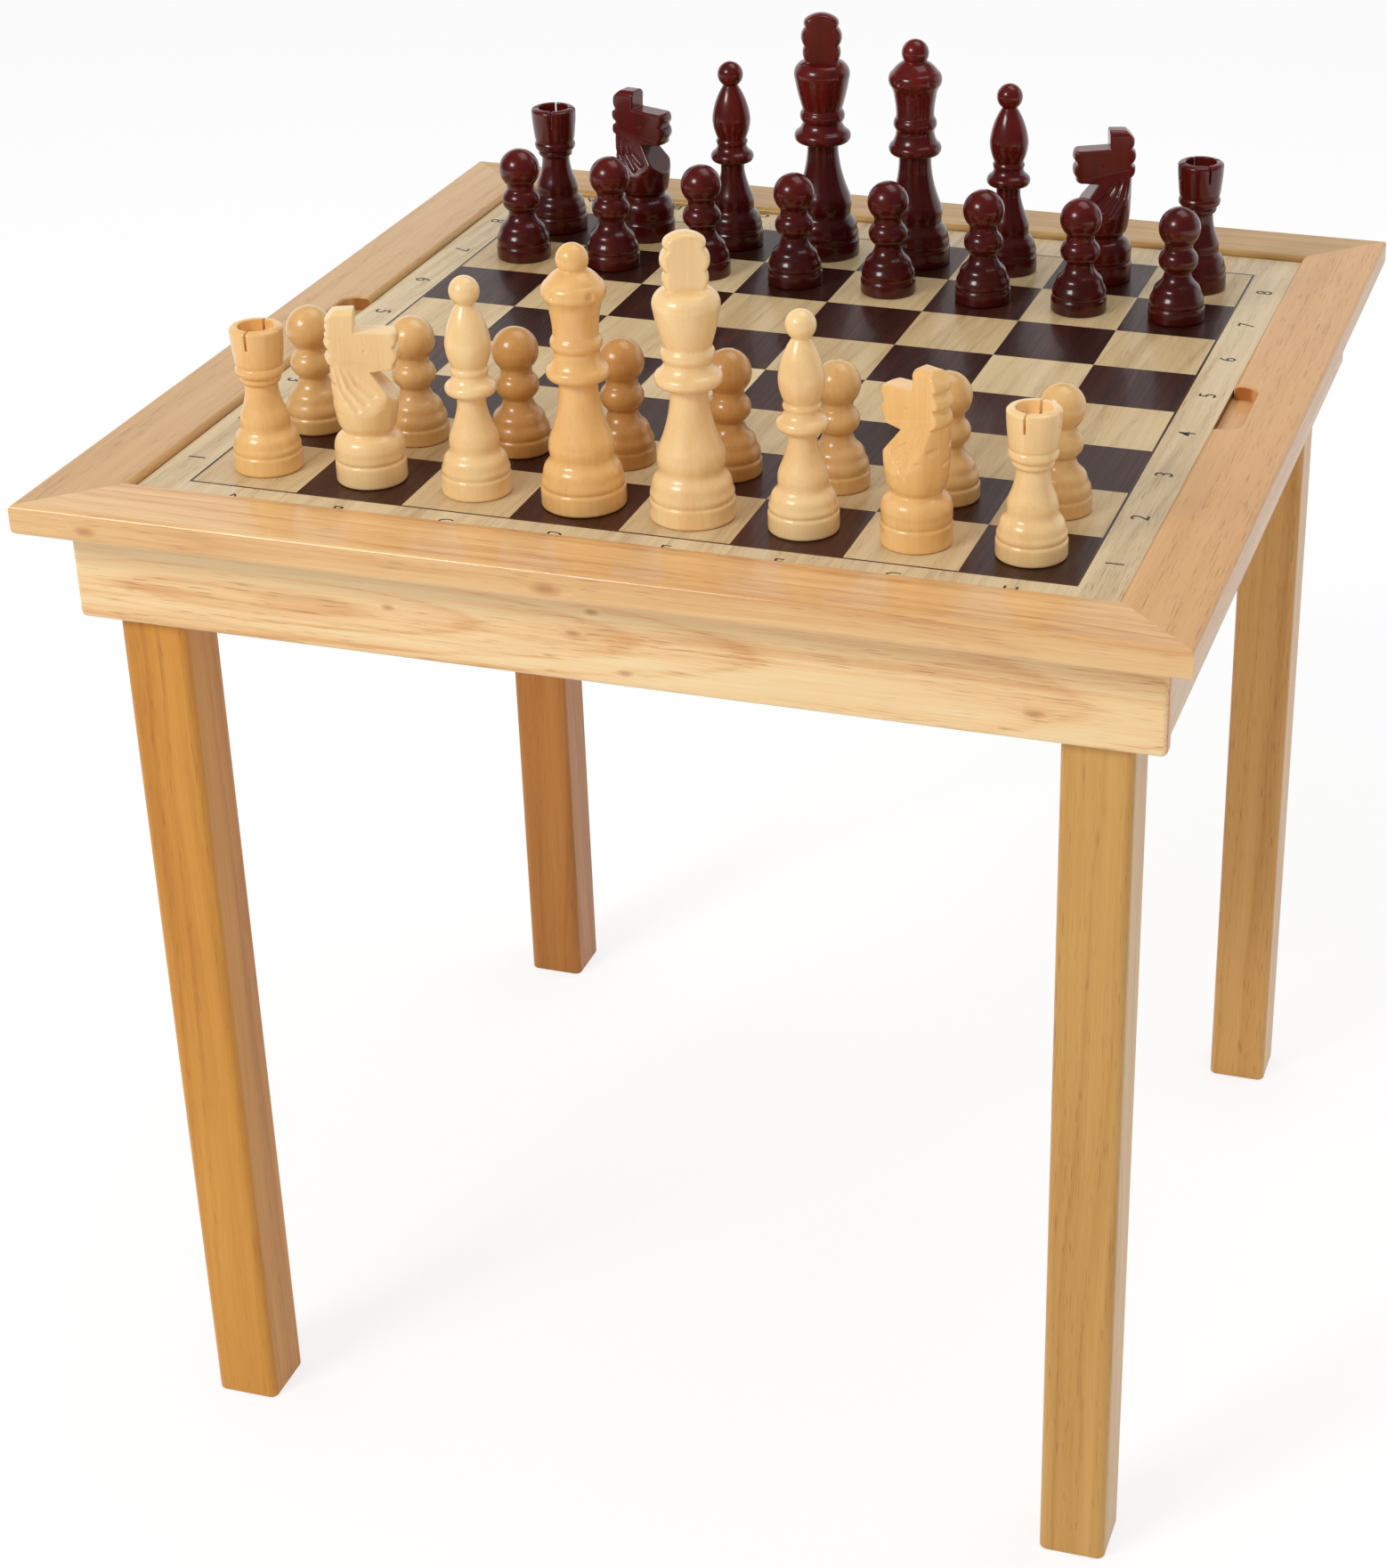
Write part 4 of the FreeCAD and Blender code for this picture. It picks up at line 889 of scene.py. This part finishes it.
def make_world():
    """White to the camera; mirror rays see the white backdrop behind and a dim room in front."""
    world = bpy.data.worlds.new("studio")
    bpy.context.scene.world = world
    s = Shader("studio", world)
    rays = s.node("LightPath", {}).outputs
    mirror = s.math("MAXIMUM", rays["Is Glossy Ray"], rays["Is Transmission Ray"])
    direction = s.node("TexCoord", {}).outputs["Generated"]
    parts = s.node("SeparateXYZ", {"Vector": direction}).outputs
    behind = s.span(parts[1], *BACKDROP_BEHIND)
    low = s.span(parts[2], *BACKDROP_TOP, 1.0, 0.0)
    room = s.span(s.math("MULTIPLY", behind, low), 0.0, 1.0, ROOM, 1.0)
    others = s.mix(mirror, WORLD_LIGHT, room)
    shade = s.mix(rays["Is Camera Ray"], others, WHITE)
    back = s.node("Background", {"Color": shade, "Strength": 1.0}).outputs[0]
    s.node("OutputWorld", {"Surface": back})


def lamp(name, at, aim, width, height, power):
    """A soft white rectangle of light, in metres and watts."""
    light = bpy.data.lights.new(name, "AREA")
    light.shape = "RECTANGLE"
    light.size = width
    light.size_y = height
    light.energy = power
    made = bpy.data.objects.new(name, light)
    made.location = at
    made.rotation_mode = "QUATERNION"
    made.rotation_quaternion = (Vector(aim) - Vector(at)).to_track_quat("-Z", "Y")
    bpy.context.scene.collection.objects.link(made)


make_floor()
make_world()
lamp("key_lamp", (-1.3, -2.2, 2.2), TABLE_TOP, 1.0, 0.75, 36)
lamp("top_lamp", (0.4, 0.6, 2.6), TABLE_TOP, 1.6, 1.2, 10)


# The camera as fitted to the table's corners, feet, squares and men in the photograph.
LENS = 71.615376
SHIFT = (-0.138238, -0.006801)
CAMERA_AT = (0.453484, -1.345484, 1.031966)
CAMERA_TURN = (61.88342, -0.0599, 15.90828)


def make_camera():
    """A long lens above the near right corner, shifted to keep the photograph's framing."""
    data = bpy.data.cameras.new("camera")
    data.sensor_width = 36
    data.lens = LENS
    data.shift_x, data.shift_y = SHIFT
    data.clip_start = 0.1
    camera = bpy.data.objects.new("camera", data)
    camera.location = CAMERA_AT
    camera.rotation_euler = [math.radians(turn) for turn in CAMERA_TURN]
    bpy.context.scene.collection.objects.link(camera)
    bpy.context.scene.camera = camera


make_camera()
bpy.context.scene.view_settings.view_transform = "Standard"


def corners(box):
    """A box's two corners as plain lists."""
    return [[round(value, 6) for value in corner] for corner in box]
